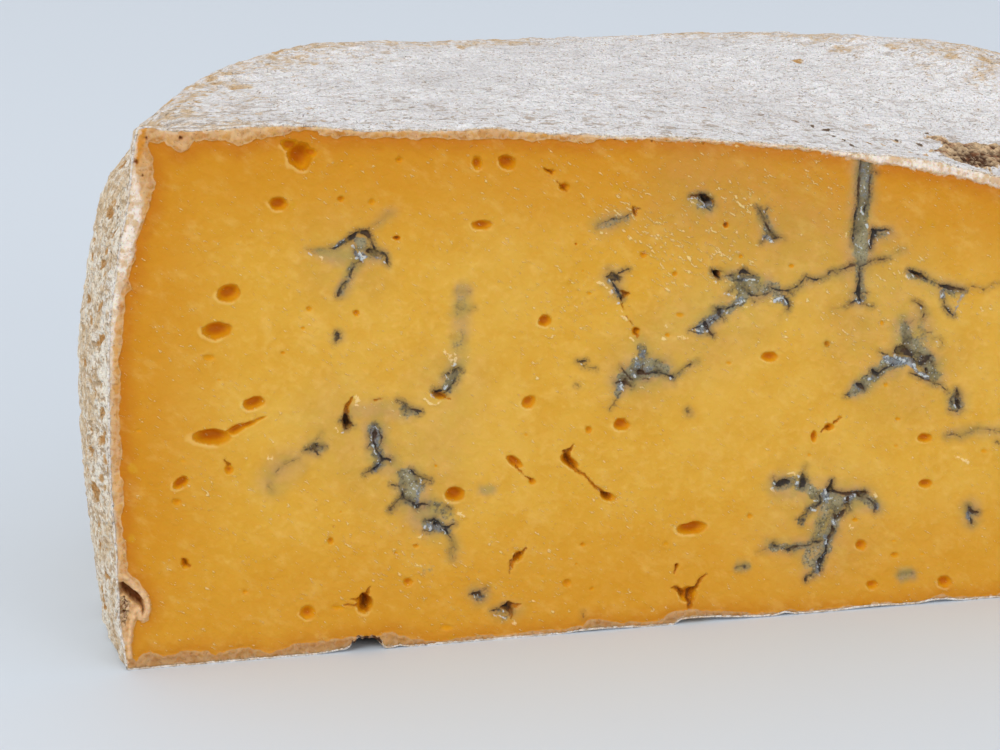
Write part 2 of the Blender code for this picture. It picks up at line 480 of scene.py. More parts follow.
def gather(fine, coarse, flip):
    """Triangles between a closed ring and one with a quarter of its points."""
    groups = fine.reshape(-1, 4)
    following = np.roll(groups[:, 0], -1)
    near = coarse
    far = np.roll(coarse, -1)
    triangles = np.concatenate([
        np.stack([groups[:, 0], groups[:, 1], near], 1),
        np.stack([groups[:, 1], groups[:, 2], near], 1),
        np.stack([groups[:, 2], far, near], 1),
        np.stack([groups[:, 2], groups[:, 3], far], 1),
        np.stack([groups[:, 3], following, far], 1),
    ])
    return triangles[:, ::-1] if flip else triangles


# The inner shells lie out of sight: straight rings inside the wheel, from the cut to the back
HIDDEN_RADIUS = 95.5
HIDDEN_STEPS = 16
HIDDEN_HALF_END = 22.0          # half the width of the last ring


def hidden_shell(pool, front_ids, across, upward, inset, first_gap, flip):
    """Closes a piece behind its front ring, out of sight, with ever narrower rings and a cap."""
    radius = HIDDEN_RADIUS - inset
    last = CENTRE_Y + math.sqrt(radius ** 2 - HIDDEN_HALF_END ** 2)
    turns = np.linspace(0.0, 1.0, HIDDEN_STEPS) ** 0.8
    ring_across = across[::4]
    ring_upward = upward[::4]
    previous = None
    for turn in turns:
        y = CUT_Y + first_gap + (last - CUT_Y - first_gap) * turn
        half = math.sqrt(radius ** 2 - (y - CENTRE_Y) ** 2)
        x = -half + 2.0 * half * ring_across
        top = HEIGHT - top_drop(x, np.full_like(x, y)) - inset
        z = inset + (top - inset) * ring_upward
        ring = pool.add(np.stack([x, np.full_like(x, y), z], 1))
        if previous is None:
            pool.face(gather(front_ids, ring, flip))
        else:
            pool.face(strip(previous, ring, flip))
        previous = ring
    middle = pool.add(np.array([[0.0, last, 0.5 * HEIGHT]]))
    after = np.roll(previous, -1)
    cap = np.stack([previous, after, np.full_like(previous, middle[0])], 1)
    pool.face(cap[:, ::-1] if flip else cap)


# ---------------------------------------------------------------------------------------------
# The rind: an outer shell
# ---------------------------------------------------------------------------------------------
FOOT_ARC = 0.5 * math.pi * FOOT_ROUND
EDGE_ARC = 0.5 * math.pi * EDGE_ROUND
WALL_RUN = HEIGHT - FOOT_ROUND - EDGE_ROUND
PROFILE = FOOT_ARC + WALL_RUN + EDGE_ARC
CUT_TURN = math.asin(CUT_OFFSET / RADIUS)
WALL_LENGTH = RADIUS * (math.pi + 2.0 * CUT_TURN)
VIEW_END = 156.0                # the photograph's right edge meets the cut here
STEP_SEEN = 0.4                 # spacing of the points along the cut's edge
STEP_UNSEEN = 0.8
SEEN_WALL = 30.0                # length of wall, from the cut, that the photograph shows
SHIFT_FADE = 16.0               # the photographed outline goes over to the model's own behind the cut


def profile(v):
    """Radius, height and tilt of the surface by the distance up the wall, from foot to top edge."""
    low_turn = np.clip(v / FOOT_ROUND, 0.0, 0.5 * math.pi)
    high_turn = np.clip((v - FOOT_ARC - WALL_RUN) / EDGE_ROUND, 0.0, 0.5 * math.pi)
    rise = np.clip(v - FOOT_ARC, 0.0, WALL_RUN)
    height = FOOT_ROUND * (1.0 - np.cos(low_turn)) + rise + EDGE_ROUND * np.sin(high_turn)
    flank = wall_radius(np.clip(height, FOOT_ROUND, HEIGHT - EDGE_ROUND))
    radius = flank - FOOT_ROUND * (1.0 - np.sin(low_turn)) - EDGE_ROUND * (1.0 - np.cos(high_turn))
    return radius, height, low_turn - 0.5 * math.pi + high_turn


# How far the photographed wall lies within the model's, in millimetres by height, left of the cut
WALL_INSET = (
    (0.0, 0.4), (8.0, 0.2), (22.0, 0.0), (30.0, -0.6), (43.0, -0.8), (52.0, -1.1), (58.0, -1.0), (67.0, -0.7),
    (71.0, -0.3), (75.0, -0.4), (77.0, -0.1), (80.0, 0.8), (84.0, 3.6), (88.0, 5.2),
)
# How far its rim lies above the model's, in millimetres by degrees round from the wheel's left side
RIM_LIFT = (
    (-12.0, 0.0), (5.0, -0.8), (17.0, -2.7), (23.0, -1.6), (30.0, -0.3), (35.0, 0.2), (45.0, 1.4),
    (54.0, 2.4), (62.0, 2.0), (70.0, 0.4), (80.0, -0.1), (95.0, -0.1), (108.0, 1.2), (118.0, 2.5),
    (128.0, 3.0), (136.0, 3.9), (146.0, 5.0), (165.0, 3.0), (190.0, 0.0),
)


def settled(x, y, height):
    """Points of the sagged wheel, drawn to the outline that the photograph shows."""
    behind = np.maximum(y - CUT_Y, 0.0)
    along = x + HALF_CUT
    near_cut = smooth_step(SHIFT_FADE, 0.0, behind)
    share = height / HEIGHT
    top_shift = (cut_top(along) - own_top(along)) * near_cut * share ** 2
    left_shift = (cut_left(height) - own_left(height)) * near_cut * smooth_step(30.0, 5.0, along)
    gap = cut_bottom(along)
    reach = 2.5 + 5.5 * smooth_step(0.4, 1.4, gap)
    base_shift = gap * smooth_step(1.5 * reach, reach, behind) * (1.0 - share) ** 24
    radial = np.hypot(x, y - CENTRE_Y)
    turn = np.degrees(np.arctan2(y - CENTRE_Y, -x))
    turn = np.where(turn < -90.0, turn + 360.0, turn)
    lift = table(RIM_LIFT, turn) * smooth_step(RADIUS - 45.0, RADIUS, radial) * share ** 3
    lift *= smooth_step(0.0, 14.0, behind)
    inset = table(WALL_INSET, height) * smooth_step(0.0, 10.0, behind) * smooth_step(75.0, 25.0, turn)
    inset *= smooth_step(RADIUS - 16.0, RADIUS - 1.0, radial)
    z = height - share * top_drop(x, y) + top_shift + base_shift + lift
    outward = 1.0 - inset / np.maximum(radial, 1.0)
    return np.stack([x * outward + left_shift, CENTRE_Y + (y - CENTRE_Y) * outward, z], 1)


# Pits by kind: pitch of their grid and largest reach in millimetres, share of the grid that has one
WALL_PIT_KINDS = ((5.8, 2.3, 0.6), (3.1, 1.1, 0.5))
TOP_PIT_KINDS = ((5.6, 2.0, 0.6), (2.9, 1.0, 0.5))


def pits(places, kind, seed):
    """Uneven pits, mostly wider than tall: 1 or less at a pit's middle, 0 outside."""
    pitch, reach, share = kind
    bent = places + 0.22 * reach * wander(places, 0.7 * reach, seed + 5)
    deepest = np.zeros(len(places))
    for cell in neighbours(places, pitch):
        chance = [hashed(cell, seed + number) for number in range(5)]
        middle = cell + 0.5 + 0.75 * (np.stack(chance[:2], 1) - 0.5)
        middle[:, 0] += 0.5 * (cell[:, 1] % 2)
        size = reach * (0.35 + 0.85 * chance[2] ** 1.5)
        away = np.abs(bent - middle * pitch) / size[:, None]
        stretch = 0.55 + 0.5 * chance[4]
        spread = (away[:, 0] * stretch) ** 1.6 + (away[:, 1] / stretch) ** 1.6
        strength = (chance[3] < share) * (1.0 - 0.5 * chance[3] / share)
        deepest = np.maximum(deepest, strength * smooth_step(1.0, 0.3, spread))
    return deepest


# What the photograph shows on the rind, in pixels: x, y, half width, half height, strength. First
# the pits of the wall, then the marks on the top and the dark gaps in it, painted as shade
WALL_PITS = (
    (122, 166, 2.5, 4, .9), (113, 205, 3, 6, .6), (108.5, 215, 4, 7.5, 1), (113, 235, 4, 5, .7),
    (106, 253, 3, 5.5, 1), (91, 259, 2.5, 6, .9), (101, 266, 3, 5, 1), (102, 276, 2, 4, .6),
    (94, 242, 1.6, 4, .6), (86, 300, 3, 5.5, .9), (99.5, 308, 3, 6, 1), (90, 321, 2, 5, .7),
    (83, 330, 1.6, 3.5, .6), (100, 342, 4.5, 7.5, 1), (83.5, 363, 2, 4.5, .7), (79, 371, 3, 5.5, 1),
    (94, 372, 2, 5, .5), (90, 383, 2, 4.5, .6), (100, 388, 2.2, 5, .6), (94, 396, 2.2, 5, .6),
    (101, 416, 3.2, 7, .7), (102, 440, 3.4, 8.5, .9), (90.5, 453, 3.4, 8, .9), (83, 426, 2, 5, .8),
    (89.5, 430, 2, 5, .6), (105, 460, 2, 6, .6), (106.5, 472, 2, 5, .6), (85, 470, 1.6, 5, .7),
    (101, 480, 2.4, 5, .7), (103, 491, 2, 4, .5), (94, 491, 6, 11, .8), (92, 510, 3, 6, .6),
    (98, 528, 4, 10, .9), (99, 547, 2, 6, .6), (105, 551, 2, 3.5, .6), (105, 577, 3, 5, .7),
    (102, 591, 3, 6.5, .8), (104, 604, 2.6, 5.5, .8), (96, 585, 2, 4, .5), (113, 560, 1.6, 5, .4),
    (106, 632, 1.6, 4, .5), (112, 650, 1.6, 4, .5),
)
TOP_MARKS = (
    (275, 52, 6, 3.5, 1.2), (271, 57, 5, 2.5, .8), (321, 59, 6.5, 4, .9), (304, 57, 8, 3, .4),
    (461, 47, 6, 3, .6), (209, 77, 5, 2.2, .9), (217, 81.5, 6, 1.6, 1.1), (211, 90, 4, 1.8, 1.1),
    (236, 87, 13, 2.2, .8), (226, 73, 7, 1.8, .6), (250, 67, 5, 1.8, .5), (196, 84, 5, 2, .8),
    (204.5, 96, 3, 1.6, 1.1), (193, 97, 6, 1.2, .8), (176, 106.5, 3, 2.6, 1.2), (170, 101, 4, 1.4, .8),
    (181, 101.5, 5, 1.2, .9), (190, 104, 3, 1.2, .9), (197, 102.5, 4, 1.0, .8), (184, 111, 7, .9, .8),
    (170, 110.5, 3, 1.4, .8), (163, 114, 3, 2.2, .7), (186, 84, 5, 1.4, .6), (157, 125, 2.4, 3.4, .9),
    (150, 123, 3, 2, .5), (238, 118, 5, .9, .6), (257, 111.5, 8, .8, .6), (285, 109, 8, .8, .7),
    (309, 106.5, 8, .8, .7), (222, 106.5, 6, .8, .5), (242, 119.5, 6, .8, .5), (210, 123.5, 6, .8, .4),
    (322, 108, 8, .8, .4), (318, 118, 9, 2.4, .5), (268, 96, 7, 1.0, .4), (345, 83, 12, 1.6, .35),
    (415, 92, 10, 1.4, .35), (797, 60, 5.5, 3.2, 1.3), (840, 48, 15, 4, .55), (895, 45, 12, 3.5, .5),
    (951, 53, 11, 3.5, .65), (985, 56, 9, 3.5, .7), (885, 75, 10, 3, .4), (845, 84, 8, 2.6, .3),
    (870, 126, 5, 1.2, .7), (870, 144, 3, 1.6, .8), (883, 144.5, 3, 1.6, .7), (898, 147.5, 3, 1.8, .6),
    (910, 134, 4, 1.3, .7), (856, 139, 4, 1.0, .5), (839, 139, 3, 1.2, .5), (905, 127, 3.5, 1.2, .7),
    (895, 141.5, 4, 1.4, .9), (910, 151.5, 3.4, 1.6, .9), (925, 153, 4, 1.2, .8), (889, 153, 3, 1.0, .5),
    (932, 158, 3, 2.4, .5), (825, 146, 2.4, 1.2, .6), (926, 137, 4, 1.4, .8), (770, 132, 5, 1.0, .4),
    (722, 127, 6, 1.0, .35),
)
TOP_CUTS = (
    (827, 130.5, 5, 1.7, 1), (833, 136.5, 4.5, 1.7, 1), (844, 140.5, 2.2, 2.6, 1), (853, 146, 3.4, 2.2, 1),
    (872, 159, 4, 1.6, .8), (921, 144, 4, 1.5, .8), (897, 141, 2.8, 1.4, .9), (928, 132, 3, 1.9, .6),
    (760, 115, 5, 1.4, .5), (795, 121, 6, 1.4, .5), (868, 150, 3, 1.4, .6), (870.5, 143.5, 2.0, 1.4, .8),
    (888, 153.5, 2.6, 1.2, .6), (812, 127, 4, 1.4, .7), (700, 107, 6, 1.2, .4), (640, 112, 6, 1.2, .4),
)
# The crumbly brown hollow in the top: x, y and half width in pixels
PATCH_LINES = (
    ((930, 150, 1.2), (939, 151, 2.6), (947, 151, 6.0), (960, 152.5, 9.5), (976, 155, 12.0), (990, 156, 12.0),
     (1006, 157, 10.0), (1020, 160, 7.0), (1030, 162, 2.0)),
    ((926, 137, .8), (934, 137.5, 1.3), (942, 141, 2.2), (950, 146, 3.4)),
    ((989, 170, 1.6), (993, 177, 1.4), (998, 185, 1.2)),
)
MARK_SEED = 480
CUT_SEED = 560
PATCH_DEPTH = 0.7
PATCH_ALONG = 156.0             # where it lies along the cut
PATCH_ROOM = (20.0, 36.0)       # along and behind the cut, beyond which there is none of it


def wall_place(u, v):
    """The wall without its relief, by distance along it from the left of the cut, and up it."""
    radius, height, tilt = profile(v)
    start = -np.arcsin(CUT_OFFSET / radius)
    turn = start + (math.pi - 2.0 * start) * u / WALL_LENGTH
    solid = np.stack([-radius * np.cos(turn), CENTRE_Y + radius * np.sin(turn), height], 1)
    return solid, turn, tilt, settled(*solid.T)


def place_marks(rows, places, surface, largest):
    """The rows of a table of marks, moved from the photograph to the surface, in millimetres."""
    points = surface(places)
    flat = to_photo(points)
    away = np.linalg.norm(points - camera_place, axis=1)
    found = []
    for row in rows:
        gap = np.hypot(*(flat - row[:2]).T)
        close = np.flatnonzero(gap < max(gap.min() + 0.5, 1.3))
        found.append(close[np.argmin(away[close])])
    middles = places[found]
    beside, above = [np.abs(to_photo(surface(middles + step)) - to_photo(surface(middles - step)))[:, axis]
                     for axis, step in enumerate(((0.5, 0.0), (0.0, 0.5)))]
    sizes = np.array([row[2:4] for row in rows]) / np.maximum(np.stack([beside, above], 1), 0.2)
    sizes = np.minimum(sizes, largest)
    return [(*middle, *size, row[4]) for middle, size, row in zip(middles, sizes, rows)]


def marks(places, rows, seed):
    """How far each place lies inside the uneven diamonds of a table, its strength at a middle."""
    most = np.zeros(len(places))
    for number, (x, y, wide, tall, share) in enumerate(rows):
        near = np.flatnonzero((np.abs(places[:, 0] - x) < 1.6 * wide)
                              & (np.abs(places[:, 1] - y) < 1.6 * tall))
        if len(near) == 0:
            continue
        away = np.abs(places[near] - (x, y)) / (wide, tall)
        spread = (away[:, 0] ** 1.5 + away[:, 1] ** 1.5) ** 0.67
        spread *= 1.0 + 0.3 * noise(places[near], 0.3 + 0.5 * min(wide, tall), seed + number)
        most[near] = np.maximum(most[near], share * smooth_step(1.2, 0.5, spread))
    return most


def wall_points(u, v):
    """Points of the wall with its relief; how deep in a pit they are; how bare of bloom."""
    solid, turn, tilt, points = wall_place(u, v)
    height = solid[:, 2]
    places = np.stack([u, height], 1)
    drift = 0.9 * wander(solid, 7.0, 51)
    unseen = smooth_step(SEEN_WALL - 3.0, SEEN_WALL + 3.0, u)
    above_foot = smooth_step(0.5, 4.0, height)
    patchy = np.clip(0.8 + 0.5 * noise(solid, 26.0, 63), 0.3, 1.0)
    large, little = WALL_PIT_KINDS
    pit = pits(places + drift, large, 71) * above_foot * unseen * patchy
    mark = 1.3 * marks(places + 0.3 * drift, wall_marks, 420)
    small = pits(places + drift + 31.0, little, 81) * above_foot * (0.5 + 0.5 * unseen)
    swell = 0.5 * layered(solid, 19.0, 81, 2)
    fuzz = 0.42 * layered(solid, 2.4, 84) + 0.30 * noise(solid, 1.0, 88)
    from_cut = np.minimum(u, WALL_LENGTH - u)
    raised = swell - 0.8 * pit - 0.35 * mark - 0.35 * small + fuzz
    raised *= 0.3 + 0.7 * smooth_step(0.0, 2.5, from_cut)
    raised *= smooth_step(-0.5 * math.pi, -0.2, tilt)
    forward = np.sin(turn) * np.cos(tilt) * smooth_step(0.0, 6.0, from_cut)
    outward = np.stack([-np.cos(turn) * np.cos(tilt), forward, np.sin(tilt)], 1)
    moved = points + raised[:, None] * outward
    calm = smooth_step(5.0, 1.0, from_cut)
    calm *= smooth_step(24.0, 36.0, height) * smooth_step(80.0, 70.0, height)
    bare = 0.66 + 0.1 * smooth_step(66.0, 84.0, height) + 0.18 * noise(solid, 22.0, 89) - 0.26 * calm
    return moved, np.clip(np.maximum(pit, mark) + 0.6 * small, 0.0, 1.0), bare


def crumbs(places, pitch, seed):
    """Rounded lumps of uneven size, packed side by side, from 0 between them to 1 on top."""
    first = np.full(len(places), 9.0)
    second = np.full(len(places), 9.0)
    for cell in neighbours(places, pitch):
        middle = cell + 0.5 + 0.8 * (np.stack([hashed(cell, seed), hashed(cell, seed + 1)], 1) - 0.5)
        gap = np.hypot(*(places / pitch - middle).T)
        second = np.minimum(second, np.maximum(first, gap))
        first = np.minimum(first, gap)
    return np.clip(2.0 * (second - first), 0.0, 1.0)


def top_patch(points):
    """How far the top lies inside its crumbly hollow, in pixels, negative outside."""
    depth = np.full(len(points), -9.0)
    behind = points[:, 1] - CUT_Y
    beside = np.abs(points[:, 0] + HALF_CUT - PATCH_ALONG)
    near = np.flatnonzero((beside < PATCH_ROOM[0]) & (behind < PATCH_ROOM[1]))
    if len(near):
        pixels = to_photo(points[near])
        pixels += 1.3 * wander(pixels, 5.0, 115)
        depth[near] = np.max([line_depth(pixels, line) for line in PATCH_LINES], 0)
    return depth


def top_points(x, y):
    """Points of the top with its relief; how deep in a pit they are; the brown hollow, painted dark between
    its crumbs as shade; how bare; the dark gaps, painted as shade.
    """
    height = np.full_like(x, HEIGHT)
    points = settled(x, y, height)
    places = np.stack([x, y], 1)
    solid = np.stack([x, y, height], 1)
    behind = y - CUT_Y
    from_rim = RADIUS - np.hypot(x, y - CENTRE_Y)
    rough = np.clip(0.3 + 0.9 * smooth_step(24.0, 5.0, from_rim) + 0.5 * noise(solid, 40.0, 91), 0.1, 1.0)
    unseen = smooth_step(0.0, 20.0, x + HALF_CUT - VIEW_END - 0.28 * behind)
    drift = 1.2 * wander(solid, 8.0, 92)
    large, little = TOP_PIT_KINDS
    pit = pits(places + drift, large, 94) * rough * (0.12 + 0.88 * unseen)
    small = pits(places + drift, little, 99) * rough
    mark = marks(places, top_marks, MARK_SEED)
    cut = marks(places, top_cuts, CUT_SEED)
    swell = 0.55 * layered(solid, 24.0, 105, 2)
    fuzz = 0.26 * layered(solid, 2.4, 108) + 0.14 * noise(solid, 0.9, 112)
    wrinkle = 0.40 * layered(places * (0.45, 1.0) + 0.3 * drift, 1.7, 113, 2)
    raised = swell - 0.6 * pit - 0.3 * small + fuzz + wrinkle - 0.08 * mark - 0.15 * cut
    raised *= 0.35 + 0.65 * smooth_step(0.0, 2.0, behind)
    patch = smooth_step(-0.8, 0.8, top_patch(points))
    shaken = places + 0.4 * drift + 0.35 * wander(solid, 1.6, 123)
    lumps = 0.45 * crumbs(shaken * (0.7, 1.0), 1.3, 125) + 0.2 * noise(shaken, 0.7, 127)
    grains = np.clip(0.25 + 0.5 * layered(shaken, 2.6, 117) + lumps, 0.0, 1.0)
    raised = raised * (1.0 - patch) + patch * (grains * 1.3 - PATCH_DEPTH)
    points[:, 2] += raised
    bare = 0.02 + 0.72 * smooth_step(40.0, 12.0, from_rim + 7.0 * noise(solid, 12.0, 118))
    bare += 0.14 * noise(solid, 26.0, 119) + 0.9 * mark
    pit = np.clip(pit + 0.5 * small + 0.55 * mark + cut, 0.0, 1.0)
    # The hollow's value is highest between its crumbs, where it gives the darkest brown: painted shade
    return points, pit * (1.0 - patch), patch * (1.3 - 0.9 * grains), bare, cut


def side_steps(step):
    """Distances up the wall for the points of the cut's side edges."""
    wall = np.linspace(FOOT_ARC, FOOT_ARC + WALL_RUN, int(WALL_RUN / step) + 1)
    edge = wall[-1] + EDGE_ARC * np.array([0.25, 0.5, 0.75, 1.0])
    return np.concatenate([[0.0, 0.5 * FOOT_ARC], wall, edge])


def mixed_steps(start, end, fine_until, fine, coarse, extra=0):
    """Places from start to end, closer together up to `fine_until`."""
    near = np.linspace(start, fine_until, int((fine_until - start) / fine) + 1)
    far = np.linspace(fine_until, end, int((end - fine_until) / coarse) + 1 + extra)
    return np.concatenate([near, far[1:]])


def front_line(radius):
    """Half the length of the cut across a circle of the wheel."""
    return math.sqrt(radius ** 2 - CUT_OFFSET ** 2)


def front_steps(radius, extra=0):
    """Places along the cut from side to side, at the wheel's top or foot."""
    half = front_line(radius)
    return mixed_steps(-half, half, VIEW_END - HALF_CUT, STEP_SEEN, STEP_UNSEEN, extra)


top_radius = float(profile(np.array([PROFILE]))[0][0])
foot_radius = float(profile(np.array([0.0]))[0][0])
left_steps = side_steps(STEP_SEEN)
right_steps = side_steps(STEP_UNSEEN)
top_steps = front_steps(top_radius)
base_steps = front_steps(foot_radius)
# The loop round the cut has a whole number of fours, so that `gather` can thin it out
loop_count = len(left_steps) + len(right_steps) + len(top_steps) + len(base_steps) - 4
base_steps = front_steps(foot_radius, -loop_count % 4)


def loop_places():
    """Places of the cut's edge on the unit square, in the order of the loop."""
    up_left = left_steps / PROFILE
    across_top = (top_steps - top_steps[0]) / (top_steps[-1] - top_steps[0])
    down_right = right_steps[::-1] / PROFILE
    across_base = (base_steps[::-1] - base_steps[0]) / (base_steps[-1] - base_steps[0])
    across = np.concatenate([np.zeros_like(up_left), across_top[1:], np.ones_like(down_right[1:]),
                             across_base[1:-1]])
    upward = np.concatenate([up_left, np.ones_like(across_top[1:]), down_right[1:],
                             np.zeros_like(across_base[1:-1])])
    return across, upward


def inward(points):
    """Directions into the face from the points of the loop, smoothed along it."""
    flat = points[:, [0, 2]]
    run = sum(np.roll(flat, -step, 0) - np.roll(flat, step, 0) for step in range(1, 7))
    run /= np.hypot(run[:, 0], run[:, 1])[:, None]
    return np.stack([run[:, 1], np.zeros(len(run)), -run[:, 0]], 1)


def mark_tables():
    """The marks of the photograph, placed on the wall, the top and as dark gaps in the top."""
    u, v = np.meshgrid(np.arange(0.0, SEEN_WALL + 10.0, 0.4), np.arange(1.0, PROFILE, 0.4))
    wall = place_marks(WALL_PITS, np.stack([u.ravel(), v.ravel()], 1),
                       lambda places: wall_place(*places.T)[3], (3.3, 2.6))

    def top_surface(places):
        return settled(*places.T, np.full(len(places), HEIGHT))

    x, y = np.meshgrid(np.arange(-RADIUS, RADIUS, 0.7), np.arange(CUT_Y, CENTRE_Y + RADIUS, 0.7))
    places = np.stack([x.ravel(), y.ravel()], 1)
    places = places[np.hypot(places[:, 0], places[:, 1] - CENTRE_Y) < RADIUS - 1.0]
    return (wall, place_marks(TOP_MARKS, places, top_surface, (4.0, 3.0)),
            place_marks(TOP_CUTS, places, top_surface, (2.0, 2.4)))


wall_marks, top_marks, top_cuts = mark_tables()


def chipped(points):
    """Where the rind is broken out of the bottom edge, and raw. The chip is painted dark brown there, mostly
    as shade.
    """
    gap = cut_bottom(points[:, 0] + HALF_CUT)
    near = smooth_step(14.0, 10.0, points[:, 1] - CUT_Y) * (points[:, 2] < 6.0)
    return smooth_step(0.6, 1.2, gap) * near


def fold_room(points):
    """How much deeper the pieces' hidden sides start, beside the fold at the left."""
    return smooth_step(20.0, 17.0, points[:, 2]) * (points[:, 0] + HALF_CUT < 2.0)


CRUST_LIP = 0.35                # width of the white crust's own edge on the cut
WALL_FINE = 0.45                # spacing of the points on the wall, the top and the base
TOP_FINE = 0.45
BASE_FINE = 1.3
# A chip is painted dark brown, mostly as painted shade
CHIP_SHADE = 1.2                 # how brown a chip is, on the scale of the crumbly hollow

wall_arc = mixed_steps(0.0, WALL_LENGTH, SEEN_WALL, WALL_FINE, 2.0 * WALL_FINE)[1:-1]


def rind_edges(pool):
    """Point numbers of the lines that bound the wall, the top and the base."""
    sides = []
    for u, steps in ((0.0, left_steps), (WALL_LENGTH, right_steps)):
        points, pit, bare = wall_points(np.full_like(steps, u), steps)
        points[:, 1] = CUT_Y
        sides.append(pool.add(points, pit=0.3 * pit, bare=bare, wall=1.0))
    points, pit, bare = wall_points(wall_arc, np.full_like(wall_arc, PROFILE))
    rim = pool.add(points, pit=pit, bare=bare, wall=0.4)
    points, pit, bare = wall_points(wall_arc, np.zeros_like(wall_arc))
    foot = pool.add(points, bare=bare, wall=1.0)
    across = top_steps[1:-1]
    points, pit, patch, bare, _ = top_points(across, np.full_like(across, CUT_Y))
    top = pool.add(points, pit=0.3 * pit, patch=patch, bare=bare)
    across = base_steps[1:-1]
    points = settled(across, np.full_like(across, CUT_Y), np.zeros_like(across))
    base = pool.add(points, patch=CHIP_SHADE * chipped(points))
    return {"left": sides[0], "right": sides[1], "rim": rim, "foot": foot, "top": top, "base": base}


def wall_levels(places):
    """Fine on the wall that the photograph shows, coarser beyond."""
    return np.where(places[:, 0] < SEEN_WALL, 0, 1)


def add_wall(pool, edges):
    """The wall, filled flat by distance along and up it."""
    inner = graded((0.0, FOOT_ARC), (WALL_LENGTH, PROFILE), WALL_FINE, wall_levels, 121)
    margin = np.where(inner[:, 0] < SEEN_WALL, 0.3, 0.6)
    keep = (inner[:, 0] > margin) & (inner[:, 0] < WALL_LENGTH - margin)
    keep &= (inner[:, 1] > FOOT_ARC + 0.2) & (inner[:, 1] < PROFILE - 0.8 * margin)
    inner = inner[keep]
    points, pit, bare = wall_points(inner[:, 0], inner[:, 1])
    points[:, 1] = np.maximum(points[:, 1], CUT_Y + 0.05)
    creamy = smooth_step(PROFILE + 2.0, PROFILE - 10.0, inner[:, 1])
    body = pool.add(points, pit=pit, bare=bare, wall=creamy)
    left = edges["left"]
    ids = np.concatenate([[left[0]], edges["foot"], edges["right"], edges["rim"][::-1], left[:0:-1]])
    places = np.concatenate([
        [[0.0, 0.0]], np.stack([wall_arc, np.zeros_like(wall_arc)], 1),
        np.stack([np.full_like(right_steps, WALL_LENGTH), right_steps], 1),
        np.stack([wall_arc[::-1], np.full_like(wall_arc, PROFILE)], 1),
        np.stack([np.zeros_like(left_steps[1:]), left_steps[:0:-1]], 1),
    ])
    pool.face(fill(ids, places, body, inner, flip=True))


def plan_edge(radius, steps, arc_ids, line_ids, first, last):
    """The closed edge of the top or the base in plan: the wheel's circle, then back along the cut."""
    start = -math.asin(CUT_OFFSET / radius)
    turn = start + (math.pi - 2.0 * start) * wall_arc / WALL_LENGTH
    circle = np.stack([-radius * np.cos(turn), CENTRE_Y + radius * np.sin(turn)], 1)
    half = front_line(radius)
    cut = np.stack([steps[-2:0:-1], np.full(len(steps) - 2, CUT_Y)], 1)
    ring = np.concatenate([[[-half, CUT_Y]], circle, [[half, CUT_Y]], cut])
    return np.concatenate([[first], arc_ids, [last], line_ids[::-1]]), ring


def within(places, radius, rim_margin, cut_margin):
    """Whether places in plan lie inside the half circle, clear of its rim and of the cut."""
    from_axis = np.hypot(places[:, 0], places[:, 1] - CENTRE_Y)
    return (from_axis < radius - rim_margin) & (places[:, 1] > CUT_Y + cut_margin)


def top_levels(places):
    """Fine on the crumbly hollow, the marks and the front left of the top, coarser elsewhere."""
    on_patch = top_patch(settled(*places.T, np.full(len(places), HEIGHT))) > -2.0
    front = (places[:, 1] - CUT_Y < 7.0) & (places[:, 0] < 0.0)
    marked = (marks(places, top_cuts, CUT_SEED) > 0.0) | (marks(places, top_marks, MARK_SEED) > 0.5)
    return np.where(on_patch | front | marked, 0, 1)


def add_top(pool, edges):
    inner = graded((-RADIUS, CUT_Y), (RADIUS, CENTRE_Y + RADIUS), TOP_FINE, top_levels, 131)
    margin = np.where(top_levels(inner) == 0, 0.3, 0.55)
    inner = inner[within(inner, top_radius, margin, margin)]
    points, pit, patch, bare, cut = top_points(inner[:, 0], inner[:, 1])
    body = pool.add(points, pit=pit, patch=patch, bare=bare, cut=cut)
    ids, places = plan_edge(top_radius, top_steps, edges["rim"], edges["top"], edges["left"][-1],
                            edges["right"][-1])
    pool.face(fill(ids, places, body, inner, flip=False))


def base_levels(places):
    """Finer where the base meets the cut and round the chip."""
    behind = places[:, 1] - CUT_Y
    near_gap = cut_bottom(places[:, 0] + HALF_CUT) > 0.3
    return np.where((behind < 4.0) | near_gap & (behind < 13.0), 1, 2)


def add_base(pool, edges):
    inner = graded((-RADIUS, CUT_Y), (RADIUS, CENTRE_Y + RADIUS), BASE_FINE, base_levels, 141)
    inner = inner[within(inner, foot_radius, 1.2, 0.8)]
    points = settled(inner[:, 0], inner[:, 1], np.zeros(len(inner)))
    body = pool.add(points, patch=CHIP_SHADE * chipped(points))
    ids, places = plan_edge(foot_radius, base_steps, edges["foot"], edges["base"], edges["left"][0],
                            edges["right"][0])
    pool.face(fill(ids, places, body, inner, flip=True))


def add_lip(pool, edges):
    """The crust's lip on the cut and the hidden inner surface. Returns the cut's edge and its inward way."""
    right = edges["right"]
    loop = np.concatenate([edges["left"], edges["top"], [right[-1]], right[-2::-1], edges["base"][::-1]])
    outer = np.concatenate(pool.points)[loop]
    into = inward(outer)
    waver = 0.06 * noise(outer[:, [0, 2]], 1.1, 145)
    previous = loop
    for depth, behind in ((0.10, -0.07), (CRUST_LIP, -0.05), (CRUST_LIP + 0.1, 0.5)):
        points = outer + (depth + waver)[:, None] * into
        points[:, 1] = CUT_Y + behind
        if behind > 0.0:
            points[:, 1] += 3.0 * fold_room(points)
        raw = chipped(points)
        ring = pool.add(points, lip=1.0 - raw, patch=CHIP_SHADE * raw)
        pool.face(strip(previous, ring, flip=True))
        previous = ring
    hidden_shell(pool, previous, *loop_places(), inset=3.0, first_gap=4.0, flip=True)
    return outer, into


